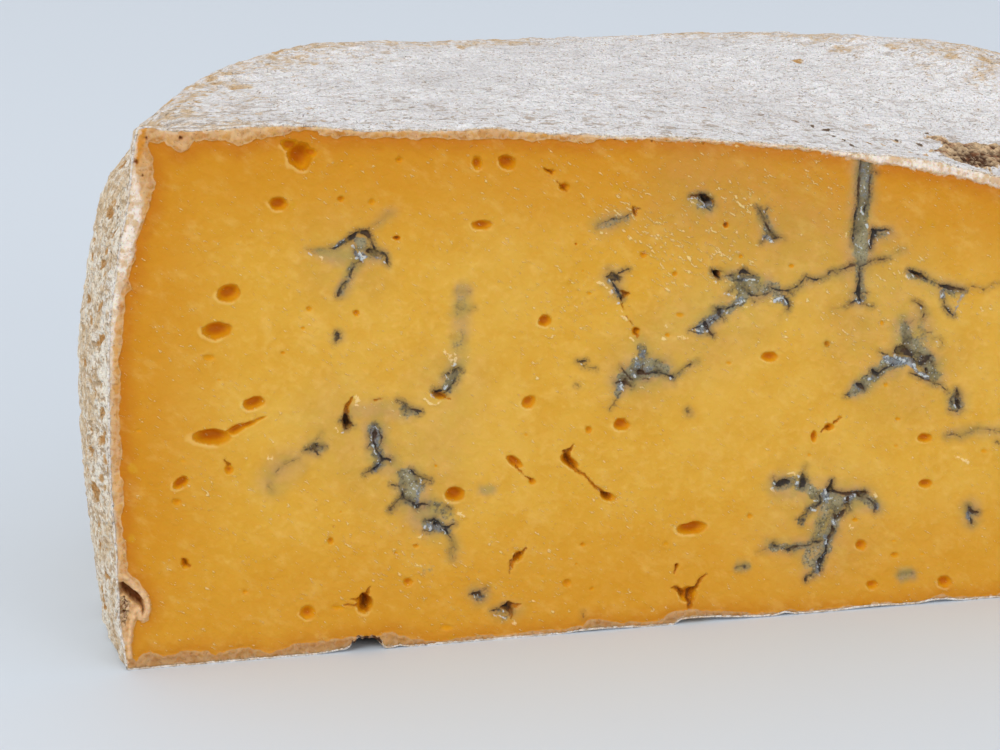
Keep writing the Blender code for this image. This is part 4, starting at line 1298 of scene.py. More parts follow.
# Soft mould: how much of it shows, then x, y and half width in pixels. First grey-green, then blue-grey
VEIN_BODIES = (
    (0.8, ((358, 240, 4.5), (362, 243, 7.0), (363, 249, 5.0))),
    (0.5, ((352, 266, 3.5), (345, 282, 3.5), (340, 293, 3.0))),
    (0.8, ((455, 373, 3.4), (451, 380, 4.4), (447, 388, 4.4))),
    (0.2, ((462, 290, 5.0), (461, 310, 7.0), (459, 335, 6.0), (459, 352, 5.0))),
    (0.6, ((375, 428, 7.0), (375, 446, 7.5), (380, 462, 7.0), (374, 470, 4.0))),
    (0.6, ((404, 410, 5.0), (416, 413, 4.0))),
    (0.75, ((405, 474, 8.0), (412, 487, 12.5), (410, 499, 8.0))),
    (0.4, ((432, 505, 7.0), (444, 511, 8.0), (450, 519, 5.0))),
    (0.7, ((428, 525, 6.0), (437, 526, 7.0), (448, 531, 5.0))),
    (0.45, ((314, 448, 7.0), (318, 448, 6.0))),
    (0.45, ((603, 226, 5.0), (614, 223, 4.0), (626, 219, 3.0))),
    (0.5, ((700, 204, 6.0), (708, 205, 7.0))), (0.5, ((764, 216, 3.0), (769, 236, 6.5))),
    (0.5, ((612, 282, 5.0), (618, 292, 4.0))),
    (0.85, ((626, 377, 8.0), (640, 368, 11.0), (655, 368, 9.0), (664, 370, 6.0))),
    (0.6, ((642, 348, 5.0), (643, 358, 7.0))), (0.6, ((622, 385, 6.0), (618, 395, 3.0))),
    (0.5, ((672, 378, 4.0), (682, 371, 3.0))),
    (0.75, ((733, 279, 4.0), (744, 280, 6.5), (756, 280, 4.0))),
    (0.75, ((741, 284, 6.0), (744, 293, 8.5), (740, 301, 6.0))),
    (0.55, ((752, 289, 6.0), (766, 287, 7.0), (778, 285, 5.0))),
    (0.6, ((735, 304, 5.0), (722, 312, 7.0), (711, 320, 6.0), (700, 329, 5.5))),
    (0.5, ((778, 297, 7.0), (786, 303, 5.0))),
    (1.0, ((866, 158, 5.5), (865.5, 180, 6.5), (864, 200, 6.5), (861.5, 214, 6.5), (861, 235, 8.5),
           (862, 250, 8.0), (861, 262, 5.5))),
    (0.6, ((860, 268, 5.0), (860, 290, 5.0), (860, 300, 5.0))), (0.6, ((876, 234, 6.0), (884, 235, 5.0))),
    (0.6, ((947, 291, 3.5), (955, 292, 3.5))), (0.5, ((910, 275, 4.0), (922, 278, 3.0), (935, 284, 2.5))),
    (0.75, ((905, 325, 4.0), (908, 340, 7.0), (917, 350, 9.0), (927, 360, 8.0), (934, 374, 6.0))),
    (0.45, ((920, 325, 5.0), (922, 340, 6.0))),
    (0.75, ((901, 362, 7.0), (890, 362, 6.0), (881, 368, 6.0), (872, 377, 6.0), (861, 387, 6.5),
            (852, 393, 3.5))),
    (0.6, ((955, 398, 6.0), (956, 405, 7.0))),
    (0.75, ((797, 486, 4.0), (812, 492, 6.0), (826, 499, 9.5), (838, 503, 9.0), (852, 497, 5.0),
            (862, 496, 5.0), (874, 505, 5.0))),
    (0.55, ((778, 486, 6.0), (790, 482, 6.0), (803, 480, 6.0))),
    (0.65, ((838, 510, 7.0), (832, 524, 6.0), (828, 541, 6.0), (822, 557, 5.5), (816, 571, 5.0))),
    (0.5, ((826, 512, 8.0), (820, 530, 8.0), (814, 548, 9.0), (808, 562, 7.0))),
    (0.55, ((816, 506, 5.0), (806, 515, 4.5), (801, 522, 4.0))),
    (0.6, ((772, 546, 4.0), (790, 549, 4.5), (808, 545, 4.0))), (0.5, ((478, 595, 6.0), (480, 596, 5.0))),
    (0.4, ((498, 612, 4.0), (505, 617, 3.0))), (0.1, ((482, 490, 4.0), (494, 490, 3.5))),
    (0.5, ((970, 509, 4.0), (971, 520, 4.0))), (0.25, ((735, 568, 3.0), (749, 567, 3.5))),
    (0.15, ((898, 575, 4.5), (914, 574, 5.0))), (0.4, ((425, 570, 2.6), (431, 570, 2.6))),
    (0.4, ((337, 334, 4.0), (338, 339, 3.5))),
    (0.12, ((950, 435, 4.0), (975, 432, 4.0), (1000, 433, 4.0))),
    (0.8, ((1045, 324, 4.0), (1056, 332, 7.0), (1072, 334, 4.0))),
    (0.8, ((1128, 382, 4.0), (1140, 390, 7.5), (1156, 391, 4.0))),
    (0.7, ((1100, 437, 4.0), (1108, 452, 6.0), (1107, 462, 3.0))),
)
VEIN_SLATE = (
    (0.8, ((335, 247, 1.8), (345, 241, 2.4))), (0.9, ((357, 254, 2.4), (361, 257, 4.0), (366, 257, 2.6))),
    (0.6, ((374, 257, 2.0), (380, 258, 1.6))), (0.8, ((375, 428, 3.6), (375, 438, 4.8), (375, 446, 4.0))),
    (0.7, ((379, 454, 2.6), (380, 464, 2.6), (376, 470, 2.4))), (0.6, ((420, 480, 2.0), (416, 507, 2.6))),
    (0.8, ((430, 526, 3.0), (438, 528, 3.0), (446, 532, 2.4))), (0.8, ((622, 384, 3.0), (621, 389, 2.6))),
    (0.5, ((640, 362, 6.0), (634, 375, 3.0), (652, 368, 5.0))), (0.6, ((643, 353, 4.0), (643, 358, 3.0))),
    (0.7, ((706, 208, 2.0), (712, 203, 2.0))), (0.6, ((766, 238, 3.0), (771, 240, 2.0))),
    (0.7, ((616, 290, 2.0), (619, 295, 2.0))), (0.6, ((737, 278, 2.0), (746, 280, 2.0))),
    (0.8, ((723, 313, 3.6), (712, 320, 3.4), (704, 327, 4.0), (697, 331, 2.8))),
    (0.6, ((736, 300, 3.0), (742, 299, 2.4))), (0.7, ((777, 299, 3.0), (786, 303, 3.0))),
    (0.45, ((865, 165, 5.0), (864.5, 196, 5.0))), (0.8, ((857, 299, 2.4), (862, 302, 2.4))),
    (0.6, ((870, 240, 1.8), (871, 246, 1.8))), (0.7, ((943, 291, 1.8), (942, 297, 1.8))),
    (0.6, ((965, 289, 1.6), (952, 314, 1.4))),
    (0.9, ((888, 358, 3.6), (894, 362, 4.6), (902, 361, 4.6), (912, 364, 3.6))),
    (0.85, ((914, 366, 3.4), (920, 373, 3.0), (928, 377, 2.6))),
    (0.7, ((872, 376, 2.6), (869, 380, 2.0))), (0.6, ((860, 388, 3.6), (858, 386, 2.6))),
    (0.75, ((797, 483, 3.0), (795, 485, 2.4))), (0.85, ((824, 492, 3.6), (825, 500, 3.0))),
    (0.8, ((846, 499, 4.0), (854, 496, 3.4))), (0.75, ((833, 520, 3.2), (833, 523, 2.6))),
    (0.75, ((826, 538, 3.0), (825, 545, 2.6))), (0.8, ((817, 563, 2.2), (818, 572, 2.4))),
    (0.6, ((814, 510, 2.6), (812, 511, 2.0))), (0.6, ((874, 504, 3.0), (876, 508, 2.4))),
    (0.7, ((477, 596, 2.0), (479, 597, 1.8))), (0.7, ((969, 513, 2.2), (970, 519, 2.0))),
    (0.7, ((1055, 334, 3.0), (1058, 335, 2.6))), (0.7, ((1138, 392, 3.4), (1144, 393, 2.4))),
)
# Painted highlights: pale sparkles on the mould, and bright rims of broken paste: x, y and half width in
# pixels
GLINTS = (
    ((308.5, 253, 1.0), (311, 255, .9)), ((320, 256, 1.0), (322.5, 258, 1.0)),
    ((322, 262.5, 1.2), (323.5, 263, .9)), ((334, 246, .7), (337, 245, .7)),
    ((343, 240, .7), (345, 239.5, .7)), ((352, 245, .8), (355, 248, .9)),
    ((359, 253, 1.3), (361, 255, 1.5)), ((356, 258, 1.1), (357.5, 258.5, 1.0)),
    ((361, 259.5, 1.3), (365, 256.5, 1.0)), ((363, 262, .8), (363.5, 262.5, .7)),
    ((377, 258, 1.0), (378.5, 258.5, .8)), ((384, 262.5, 1.0), (385, 263.5, .8)),
    ((444, 352, .6), (449, 355.5, .8)), ((450.5, 358, .8), (456, 362, .8)),
    ((453, 353.5, .5), (457, 358.5, .6)), ((467, 358, .5), (470, 354, .5)),
    ((445, 376, .7), (449, 379.5, .8)), ((447, 386, 1.0), (445, 389, .9)),
    ((453, 366, .7), (457, 364.5, .8)),
    ((424, 398, .9), (429, 403, 1.5), (437, 404.5, 1.2), (441, 401, .5)),
    ((431, 395, .9), (435, 397, .6)), ((336, 427, .5), (339, 432, .6), (346, 434, .6)),
    ((355, 397, 1.6), (357, 400, 1.4), (355, 406, .8)), ((311, 447, .6), (311.5, 448, .6)),
    ((268.5, 458, 1.4), (271, 458.5, 1.2)), ((373, 428, .5), (375, 426, .5), (378, 430, .5)),
    ((371, 437, .7), (371.5, 440, .6)), ((373, 446, .7), (376, 454, .8)),
    ((378, 461, .8), (378.5, 463, .7)), ((391, 462, .8), (391.5, 463, .6)),
    ((420, 479, .8), (421, 483, 1.0)), ((415, 506, .8), (415.5, 508, .9)),
    ((413, 487, .4), (417, 491, .4)), ((402, 489, .4), (402.5, 491, .4)),
    ((445, 500, .6), (448, 503, .6)), ((458, 511, 1.0), (463, 516, 1.2)),
    ((431, 526, .9), (430, 530, .9)), ((443, 530, .7), (446, 534, .8)), ((426, 526, .8), (424, 528, .7)),
    ((419, 537, .8), (422, 535, .7)), ((601, 232, 1.1), (602, 233, 1.0)),
    ((602, 227.5, .7), (603, 228, .6)), ((606, 233, .7), (608, 234, .6)),
    ((635, 219, .8), (637, 220.5, .7)),
    ((688, 199.5, .5), (694, 197.5, .8), (700, 199.5, .8), (704, 203, .7), (706, 208, .5)),
    ((689, 200, .6), (695, 203, .8), (705, 208.5, .6)), ((763, 238.5, 1.0), (764, 239, .8)),
    ((769, 237.5, 1.3), (770, 238, 1.0)), ((771, 241.5, 1.1), (773, 242, .7)),
    ((764, 211, .5), (764.5, 213, .5)), ((597, 282, 1.0), (603, 284, 1.4), (607, 288, .9)),
    ((609, 289, 1.0), (613, 292.5, 1.1)), ((610, 280, .8), (610.5, 281, .6)),
    ((615, 288, .8), (615.5, 290, .7)), ((616, 303, 1.0), (619, 303, .9)),
    ((622, 310, .8), (622.5, 312, .8)), ((620, 315, .6), (626, 319, 1.5), (628, 320.5, .8)),
    ((630, 338, .6), (634, 340, .6)), ((634, 375.5, 1.5), (635.5, 376.5, 1.2)),
    ((622, 383, .9), (621, 387, .9), (623, 390, .7)), ((649, 377, .9), (650, 377, .8)),
    ((635, 357, .6), (635.5, 358.5, .6)), ((670, 378, 1.0), (671, 379, .8)),
    ((581, 364, 1.0), (581.5, 365, .8)), ((662, 338, .9), (666, 340, .9)),
    ((665, 325.5, .8), (666.5, 326, .6)), ((678, 336, .5), (686, 339, .7)),
    ((715, 274, .8), (715.5, 274.5, .6)), ((713, 281, 1.1), (716, 281.5, .8)),
    ((726, 276.5, .8), (727, 277, .6)), ((737.5, 276, 1.1), (738, 277, .9)),
    ((740, 284, .8), (741, 285, .7)), ((745, 280.5, .8), (750, 279, .7), (755, 279.5, 1.0)),
    ((725, 293, .8), (730, 295, .7), (736, 297, .7)), ((736, 304, .7), (741, 301, 1.4), (745, 300, .9)),
    ((743.5, 306.5, 1.2), (745, 307, .8)), ((752, 305, .9), (753, 305.5, .7)),
    ((772, 301, .9), (777, 300, 1.4), (782, 297.5, 1.7), (785, 301, 1.2), (787, 304, .7)),
    ((728, 311, 1.1), (726, 314, .9)), ((702.5, 326.5, 1.0), (704, 327, .7)),
    ((696, 330, .8), (699, 331.5, .8)), ((703, 332, .7), (707.5, 332, 1.1)),
    ((692, 329.5, .7), (693.5, 330, .6)), ((711, 320, .7), (715, 316.5, .6)),
    ((861.5, 207, .8), (861, 211, 1.1), (864, 215, 1.1)), ((866.5, 225, 1.2), (868, 229, .7)),
    ((863, 185, .7), (864.5, 187.5, 1.0)), ((866, 175, .5), (866.5, 176, .5)),
    ((870, 238, .6), (869, 243, .9), (871, 247, .6)), ((877, 238.5, .7), (878, 241, .5)),
    ((888, 233, .9), (889, 234, .6)), ((853, 243, .4), (858, 246, .4), (863, 249, .5)),
    ((847, 221, .4), (847, 224, .5)), ((846, 234, .5), (846, 236, .5)), ((856, 300, .7), (857, 297, .5)),
    ((859, 303, .5), (863, 301, .6)), ((907, 276, 1.6), (908.5, 278, 1.3)),
    ((912.5, 275.5, 1.1), (913, 277, .8)), ((955, 291.5, 1.2), (957.5, 292, 1.0)),
    ((943, 292, 1.0), (942, 297, 1.3)), ((947, 306, .4), (950.5, 311, .4)),
    ((921, 307.5, .8), (921.5, 309, .6)), ((895, 356, 1.8), (896, 358, 1.6)),
    ((901, 360, 2.2), (904, 361, 1.6)), ((888, 363, 1.5), (889, 366, 1.1)),
    ((914, 364, 1.4), (915, 369, 1.4)), ((918, 373, .9), (928, 377, 1.0)),
    ((885, 357, .9), (888, 356, .8)), ((871, 377, 1.0), (870, 379, .8)),
    ((954, 405, 1.2), (955, 407, 1.0)), ((936.5, 342, 1.0), (937, 344, .8)),
    ((772, 489, 1.8), (774.5, 491.5, 1.2)), ((774, 483, .8), (775.5, 485, .8)),
    ((797, 482, 1.5), (796, 485, 1.1)), ((788, 473, .7), (794, 474, .9), (799, 477, .8)),
    ((824.5, 489, 1.1), (825.5, 493, 1.5)), ((814, 501, 1.3), (817, 501, 1.1)),
    ((826, 499, 1.0), (832, 498, 1.2)), ((812, 510, 1.1), (815, 510, 1.0)),
    ((833, 520, 1.4), (834, 524, 1.1)), ((845, 498, 1.2), (846, 502, 1.0)),
    ((854, 495, 1.3), (855, 497, 1.0)), ((875, 494, 1.3), (877, 497, 1.1)),
    ((825, 538, 1.1), (826, 544, 1.0)), ((817, 562, 1.0), (818, 568, .9)),
    ((818, 573, 1.0), (819, 574, .8)), ((849, 525, .8), (853, 528.5, 1.0)),
    ((956, 456, .9), (962, 459, 1.3), (968, 462, .9)), ((478, 596, .8), (478.5, 597, .7)),
    ((475, 596, .7), (475.5, 597, .6)), ((493, 614, 1.0), (494.5, 614.5, .8)),
    ((503, 610, .8), (503.5, 611, .7)), ((494, 615, .5), (501, 616.5, .9), (507, 620, .9)),
    ((513, 622.5, 1.3), (515.5, 622.5, 1.1)), ((1054, 335, 1.1), (1057, 336, 1.0)),
    ((1137, 393, 1.2), (1143, 394, 1.0)), ((1106, 456, .9), (1107, 459, .8)),
)
# Where the veins have turned the paste round them dull: how much, then x, y and half width in pixels
STAINS = (
    (0.75, ((320, 252, 6), (340, 256, 13), (362, 252, 16), (378, 256, 10))),
    (0.7, ((352, 268, 10), (342, 290, 8))), (0.35, ((378, 224, 7), (392, 212, 7))),
    (0.65, ((463, 290, 9), (462, 320, 10), (459, 350, 9))), (0.8, ((458, 362, 10), (450, 382, 13))),
    (0.55, ((352, 412, 10), (384, 410, 12), (410, 412, 12))), (0.6, ((314, 448, 13), (318, 446, 12))),
    (0.5, ((296, 460, 14), (284, 468, 18), (272, 482, 16))),
    (0.8, ((375, 432, 15), (377, 455, 14), (398, 472, 14))),
    (0.85, ((408, 480, 18), (412, 500, 20), (436, 522, 18))), (0.5, ((452, 540, 9), (453, 556, 8))),
    (0.55, ((602, 226, 11), (625, 218, 8))), (0.7, ((702, 202, 16), (708, 206, 14))),
    (0.65, ((762, 214, 9), (770, 236, 14))), (0.6, ((613, 279, 12), (618, 292, 9))),
    (0.85, ((622, 382, 14), (642, 370, 22), (664, 372, 16))), (0.6, ((642, 345, 11), (643, 358, 13))),
    (0.45, ((680, 372, 10), (694, 363, 8))), (0.85, ((735, 278, 12), (745, 288, 20), (765, 290, 16))),
    (0.75, ((735, 302, 14), (718, 313, 13), (700, 328, 12))),
    (0.55, ((780, 296, 14), (800, 285, 9), (830, 276, 9), (850, 272, 12))),
    (0.85, ((864, 160, 11), (861, 215, 14), (861, 255, 17))), (0.65, ((860, 270, 13), (859, 300, 12))),
    (0.6, ((878, 236, 14), (888, 236, 10))), (0.4, ((885, 256, 9), (905, 250, 6))),
    (0.55, ((912, 275, 10), (940, 287, 11), (958, 290, 9))), (0.45, ((944, 300, 7), (950, 313, 6))),
    (0.85, ((904, 325, 13), (910, 345, 20), (925, 362, 18), (936, 376, 12))),
    (0.6, ((920, 318, 14), (924, 335, 16))), (0.85, ((895, 362, 16), (876, 374, 13), (858, 389, 11))),
    (0.65, ((955, 398, 12), (957, 406, 11))),
    (0.8, ((778, 486, 13), (803, 488, 16), (830, 502, 21), (860, 498, 14), (875, 506, 9))),
    (0.8, ((828, 515, 18), (820, 545, 18), (812, 570, 12))), (0.6, ((770, 546, 9), (800, 547, 13))),
    (0.55, ((478, 595, 11), (482, 596, 10))), (0.4, ((500, 612, 10), (514, 610, 10))),
    (0.6, ((970, 508, 10), (971, 522, 9))), (0.45, ((950, 435, 8), (980, 431, 8), (1004, 433, 8))),
    (0.8, ((738, 568, 5), (747, 567, 5))), (0.8, ((482, 489, 5), (491, 490, 5))),
    (0.95, ((901, 575, 6), (911, 574, 6))), (0.35, ((338, 337, 8), (339, 338, 7))),
    (0.3, ((688, 412, 6), (690, 413, 6))),
    (0.28, ((700, 200, 55), (780, 240, 70), (860, 270, 60), (900, 360, 60))),
    (0.28, ((640, 370, 40), (740, 300, 45))), (0.25, ((340, 430, 45), (410, 480, 50), (450, 380, 35))),
    (0.22, ((345, 260, 45), (350, 265, 40))), (0.25, ((820, 520, 55), (822, 530, 50))),
    (0.8, ((1045, 325, 13), (1056, 334, 18), (1074, 334, 12))),
    (0.8, ((1128, 384, 12), (1140, 392, 18), (1158, 394, 11))),
    (0.75, ((1100, 438, 12), (1108, 456, 14))),
)
# The rind's fold near the left bottom corner, in pixels: its raised rope, its hollow, the crumbly
# part and the dark holes in that. The hollow and the holes are painted brown as shade
FOLD_ROPE = (
    (122, 574, 2.6), (128, 579, 3.4), (135, 586, 3.8), (142, 593, 4.0), (147, 601, 3.8), (147.5, 610, 3.8),
    (144.5, 617, 3.8), (140, 617.5, 3.4), (138.5, 609, 3.2), (134.5, 611, 3.2), (131.5, 621, 3.4),
    (130, 633, 3.4), (128.5, 645, 3.0), (130, 656, 3.2),
)
FOLD_HOLLOW = (
    (121, 583, 1.0), (126, 589, 4.2), (133, 595, 5.0), (139, 601, 4.6), (143, 607, 1.6), (142.6, 613, .8),
)
FOLD_CRUMBS = ((121, 594, 3.0), (125, 604, 6.0), (124, 616, 4.4), (122, 630, 2.4), (123.5, 637, 1.6))
FOLD_DARK = ((124.5, 613.5, 1.6), (122.5, 627, 1.2), (123.5, 635, 1.4))
# Where the section is clear, at the top left corner
AMBER_WEDGE = ((143, 127, 3.6), (141, 135, 5.0), (140, 145, 5.0), (138, 155, 4.0), (136.5, 163, 2.4))
# Small holes in the rind's section, painted brown as shade, in pixels: x, y, half width
SECTION_HOLES = (
    (136, 162, 2.8), (142.5, 175, 1.6), (181, 138, 2.2), (146, 138, 1.8), (116, 384, 1.4), (615, 139, 1.3),
    (652, 141, 1.2), (703, 143, 1.0), (300, 649, 1.0),
)
# Pale lobes that hang from the section's top, in pixels: x, y, half width
SECTION_LOBES = (
    (181, 142, 9.0), (240, 140, 6.0), (160, 137, 5.5), (336, 133, 6.0), (322, 131, 4.0), (350, 131, 4.0),
)
# Where the knife smeared the paste most, so that its flecks and their painted highlights lie
# thickest, in pixels: x, y, half width, half height, share
SMEARS_AND_HIGHLIGHTS = (
    (690, 230, 110, 90, 1.0), (800, 190, 90, 60, 0.7), (900, 310, 110, 90, 0.6), (560, 300, 90, 90, 0.55),
    (470, 560, 130, 60, 0.7), (620, 500, 110, 60, 0.5), (250, 510, 110, 110, 0.4), (330, 560, 80, 60, 0.4),
    (1100, 380, 130, 160, 0.5),
)
LEAST_SMEAR_AND_HIGHLIGHT = 0.12              # the share elsewhere


def smear_and_highlight_field(pixels):
    """How thickly the knife's flecks, with their painted highlights, lie at each place, 0 to 1."""
    share = np.full(len(pixels), LEAST_SMEAR_AND_HIGHLIGHT)
    for x, y, wide, tall, most in SMEARS_AND_HIGHLIGHTS:
        gap = ((pixels[:, 0] - x) / wide) ** 2 + ((pixels[:, 1] - y) / tall) ** 2
        share = np.maximum(share, most * np.exp(-gap))
    return share


def eye_weight(size, deep):
    """How strongly an eye's painted shade and lip highlight show: little ones and shallow ones less, but tiny
    deep ones most.
    """
    return min(1.0, 2.0 * deep) * min(1.0, 0.35 + size / 20.0) + 1.6 * (deep >= 0.5 and size < 9.0)


def eye_fields(pixels):
    """Share of the way from the nearest eye's middle to its rim, which sets its painted shade; depth in mm;
    pixels to a rim; its lip, whose lower left side carries a painted highlight.
    """
    spread = np.full(len(pixels), 9.0)
    depth = np.zeros(len(pixels))
    rim_gap = np.full(len(pixels), 99.0)
    lip = np.zeros(len(pixels))
    for number, (x, y, width, height, turn, deep) in enumerate(EYES):
        reach = 0.5 * max(width, height) + 14.0
        near = np.flatnonzero((np.abs(pixels[:, 0] - x) < reach) & (np.abs(pixels[:, 1] - y) < reach))
        if len(near) == 0:
            continue
        away = pixels[near] - (x, y)
        angle = math.radians(turn)
        along = away[:, 0] * math.cos(angle) + away[:, 1] * math.sin(angle)
        across = away[:, 1] * math.cos(angle) - away[:, 0] * math.sin(angle)
        size = math.sqrt(width * height)
        this = np.hypot(along / (0.5 * width), across / (0.5 * height))
        this *= 1.0 + 0.11 * noise(pixels[near], 0.45 * size, 200 + number)
        this *= 1.0 + 0.07 * noise(pixels[near], 1.0 + 0.16 * size, 700 + number)
        full = deep * size / PIXELS_PER_MM
        depth[near] = np.maximum(depth[near], 1.2 * full * np.clip(1.0 - this ** 2, 0.0, 1.0) ** 0.8)
        weight = eye_weight(size, deep)
        # The lip's pale colour is a painted highlight, so only its lower left side gets it
        downward = (0.83 * away[:, 1] - 0.55 * away[:, 0]) / np.maximum(np.hypot(*away.T), 0.5)
        below_left = smooth_step(0.1, 0.75, downward)
        ring = smooth_step(1.45, 1.1, this) * (this >= 1.0) * below_left
        lip[near] = np.maximum(lip[near], weight * ring * min(size / 14.0, 1.0))
        spread[near] = np.minimum(spread[near], np.where(this < 1.0, 1.0 - weight * (1.0 - this), this))
        rim_gap[near] = np.minimum(rim_gap[near], np.abs(this - 1.0) * 0.5 * min(width, height))
    lip[spread < 1.0] = 0.0
    return spread, depth, rim_gap, lip


def most_of(pixels, rows, solid, faded, margin):
    """The strongest of soft strokes: each is whole within `solid` of its half width, gone at `faded`."""
    most = np.zeros(len(pixels))
    for share, points in rows:
        gap, half = stroke_gaps(pixels, points, margin)
        most = np.maximum(most, share * smooth_step(faded, solid, gap / half))
    return most


def shaken_by(pixels, amount, size, seed):
    """Pixels pushed about by noise."""
    return pixels + amount * wander(pixels, size, seed)


def vein_fields(pixels):
    """Dark lines, dark mould with painted shade, the glow round them and their depth in mm; both moulds, the
    painted highlight sparkles, the stain.
    """
    steady = shaken_by(shaken_by(pixels, 0.5, 5.0, 301), 0.4, 2.2, 303)
    loose = shaken_by(shaken_by(pixels, 1.8, 9.0, 305), 1.2, 3.6, 307)
    core = np.zeros(len(pixels))
    glow = np.zeros(len(pixels))
    depth = np.zeros(len(pixels))
    for share, points in VEIN_LINES:
        gap, half = stroke_gaps(steady, points, margin=12.0)
        outside = gap - half
        core = np.maximum(core, share * smooth_step(1.1, -0.5, outside))
        glow = np.maximum(glow, share * smooth_step(7.5, 0.0, outside))
        depth = np.maximum(depth, share * (0.10 + 0.20 * half) * smooth_step(0.8, -0.8, outside))
    return {
        "core": core, "glow": glow, "vein_depth": depth,
        "body": most_of(loose, VEIN_BODIES, 0.55, 1.25, 20.0),
        "slate": most_of(loose, VEIN_SLATE, 0.5, 1.3, 12.0),
        "glint": most_of(steady, [(1.0, points) for points in GLINTS], 0.7, 1.5, 6.0),
        "stain": most_of(loose, STAINS, 0.2, 1.7, 130.0),
    }


def crack_fields(pixels):
    """How much of a crack each place shows, 1 at its middle, which sets its painted shade; its depth in mm;
    pixels to its side.
    """
    shaken = shaken_by(shaken_by(pixels, 0.9, 5.0, 311), 0.7, 2.4, 313)
    shown = np.full(len(pixels), -1.0)
    depth = np.zeros(len(pixels))
    rim_gap = np.full(len(pixels), 99.0)
    for points in CRACKS:
        gap, half = stroke_gaps(shaken, points, margin=14.0)
        this = gap / half
        shown = np.maximum(shown, (1.0 - this) * np.minimum(1.0, 0.25 + 0.22 * half))
        depth = np.maximum(depth, (0.2 + 0.27 * half) * np.clip(1.0 - this ** 2, 0.0, 1.0) ** 0.7)
        rim_gap = np.minimum(rim_gap, np.abs(gap - half))
    return shown, depth, rim_gap


def spots(pixels, rows):
    """Depth of each place inside the nearest round spot, in pixels, negative outside."""
    nearest = np.full(len(pixels), -999.0)
    for x, y, half in rows:
        nearest = np.maximum(nearest, half - np.hypot(pixels[:, 0] - x, pixels[:, 1] - y))
    return nearest


inner_line = inner_outline()


def face_fields(places):
    """Every field of the cut face that its relief and its colours need, by along and up."""
    along, up = places.T
    pixels = face_to_photo(along, up)
    spread, eye_depth, eye_gap, lip = eye_fields(pixels)
    crack, crack_depth, crack_gap = crack_fields(pixels)
    from_left = along - cut_left(up)
    from_top = cut_top(along) - up
    from_right = cut_right(up) - along
    from_bottom = up - cut_bottom(along)
    from_edge = np.min([from_left, from_top, from_right, from_bottom], 0)
    edge = from_edge - 1.8
    near = from_edge < 11.0
    edge[near] = signed_distance(places[near], inner_line)
    edge[near] += 0.18 * noise(places[near], 2.6, 321) + 0.24 * noise(places[near], 1.0, 322)
    edge = np.minimum(edge, -spots(pixels, SECTION_LOBES) / PIXELS_PER_MM)
    crust_left = table(CRUST_LEFT, up) - from_left
    crust_top = table(CRUST_TOP, pixels[:, 0]) - from_top
    crust_bottom = 0.25 - from_bottom
    crust = np.max([crust_left, crust_top, crust_bottom, 0.4 - from_right], 0)
    crust += 0.22 * noise(places, 1.4, 323) + 0.12 * noise(places, 0.7, 325)
    fold = shaken_by(pixels, 0.8, 6.0, 331)
    return {
        "pixels": pixels, "spread": spread, "eye_depth": eye_depth, "eye_gap": eye_gap, "lip": lip,
        "crack": crack, "crack_depth": crack_depth, "crack_gap": crack_gap,
        "edge": edge, "crust": crust, "from_edge": from_edge,
        "amber": line_depth(fold, AMBER_WEDGE), "rope": line_depth(fold, FOLD_ROPE),
        "hollow": line_depth(fold, FOLD_HOLLOW), "crumbs": line_depth(fold, FOLD_CRUMBS),
        "dark": spots(pixels, FOLD_DARK),
        "holes": spots(fold, SECTION_HOLES), **vein_fields(pixels),
    }


def face_relief(places, fields):
    """How far each place of the cut lies behind its plane, in millimetres."""
    edge = fields["edge"]
    crust = fields["crust"]
    inside_paste = smooth_step(-0.1, 0.5, edge)
    in_section = 1.0 - smooth_step(-0.25, 0.1, edge)
    back = 0.10 * layered(places, 17.0, 341, 2) + 0.035 * noise(places, 2.2, 343)
    slanted = np.stack([places[:, 0] + 0.9 * places[:, 1], 0.25 * (places[:, 1] - 0.9 * places[:, 0])], 1)
    back += inside_paste * 0.03 * noise(slanted, 1.6, 345)
    back += fields["eye_depth"] - 0.07 * fields["lip"]
    back += fields["crack_depth"]
    mould = fields["body"] * (0.10 + 0.10 * noise(places, 0.8, 347))
    back += fields["vein_depth"] + mould - 0.10 * fields["glint"]
    back += -0.14 * in_section + 0.09 * smooth_step(0.5, 0.0, np.abs(edge - 0.15))
    lobes = crumbs(shaken_by(places, 0.2, 1.3, 353), 1.1, 348)
    back += in_section * (0.14 - 0.32 * lobes + 0.06 * noise(places, 0.7, 349))
    back += -0.12 * smooth_step(-0.2, 0.1, crust) + 0.10 * smooth_step(0.15, 0.0, np.abs(crust))
    back += -0.38 * smooth_step(0.0, 2.6, fields["rope"])
    off_rope = smooth_step(1.6, 0.2, fields["rope"])
    hollow = smooth_step(-0.2, 2.4, fields["hollow"]) * off_rope
    loose = smooth_step(-0.2, 2.0, fields["crumbs"]) * off_rope
    back += 2.8 * hollow + loose * (1.0 - hollow) * (1.1 - 0.75 * crumbs(places, 0.9, 351))
    back += 1.2 * smooth_step(0.0, 1.4, fields["dark"]) + 0.6 * smooth_step(-0.3, 1.6, fields["holes"])
    return back * smooth_step(0.0, 0.45, fields["from_edge"] - 0.1)


FACE_FINE = 0.22                # spacing of the points on the cut face


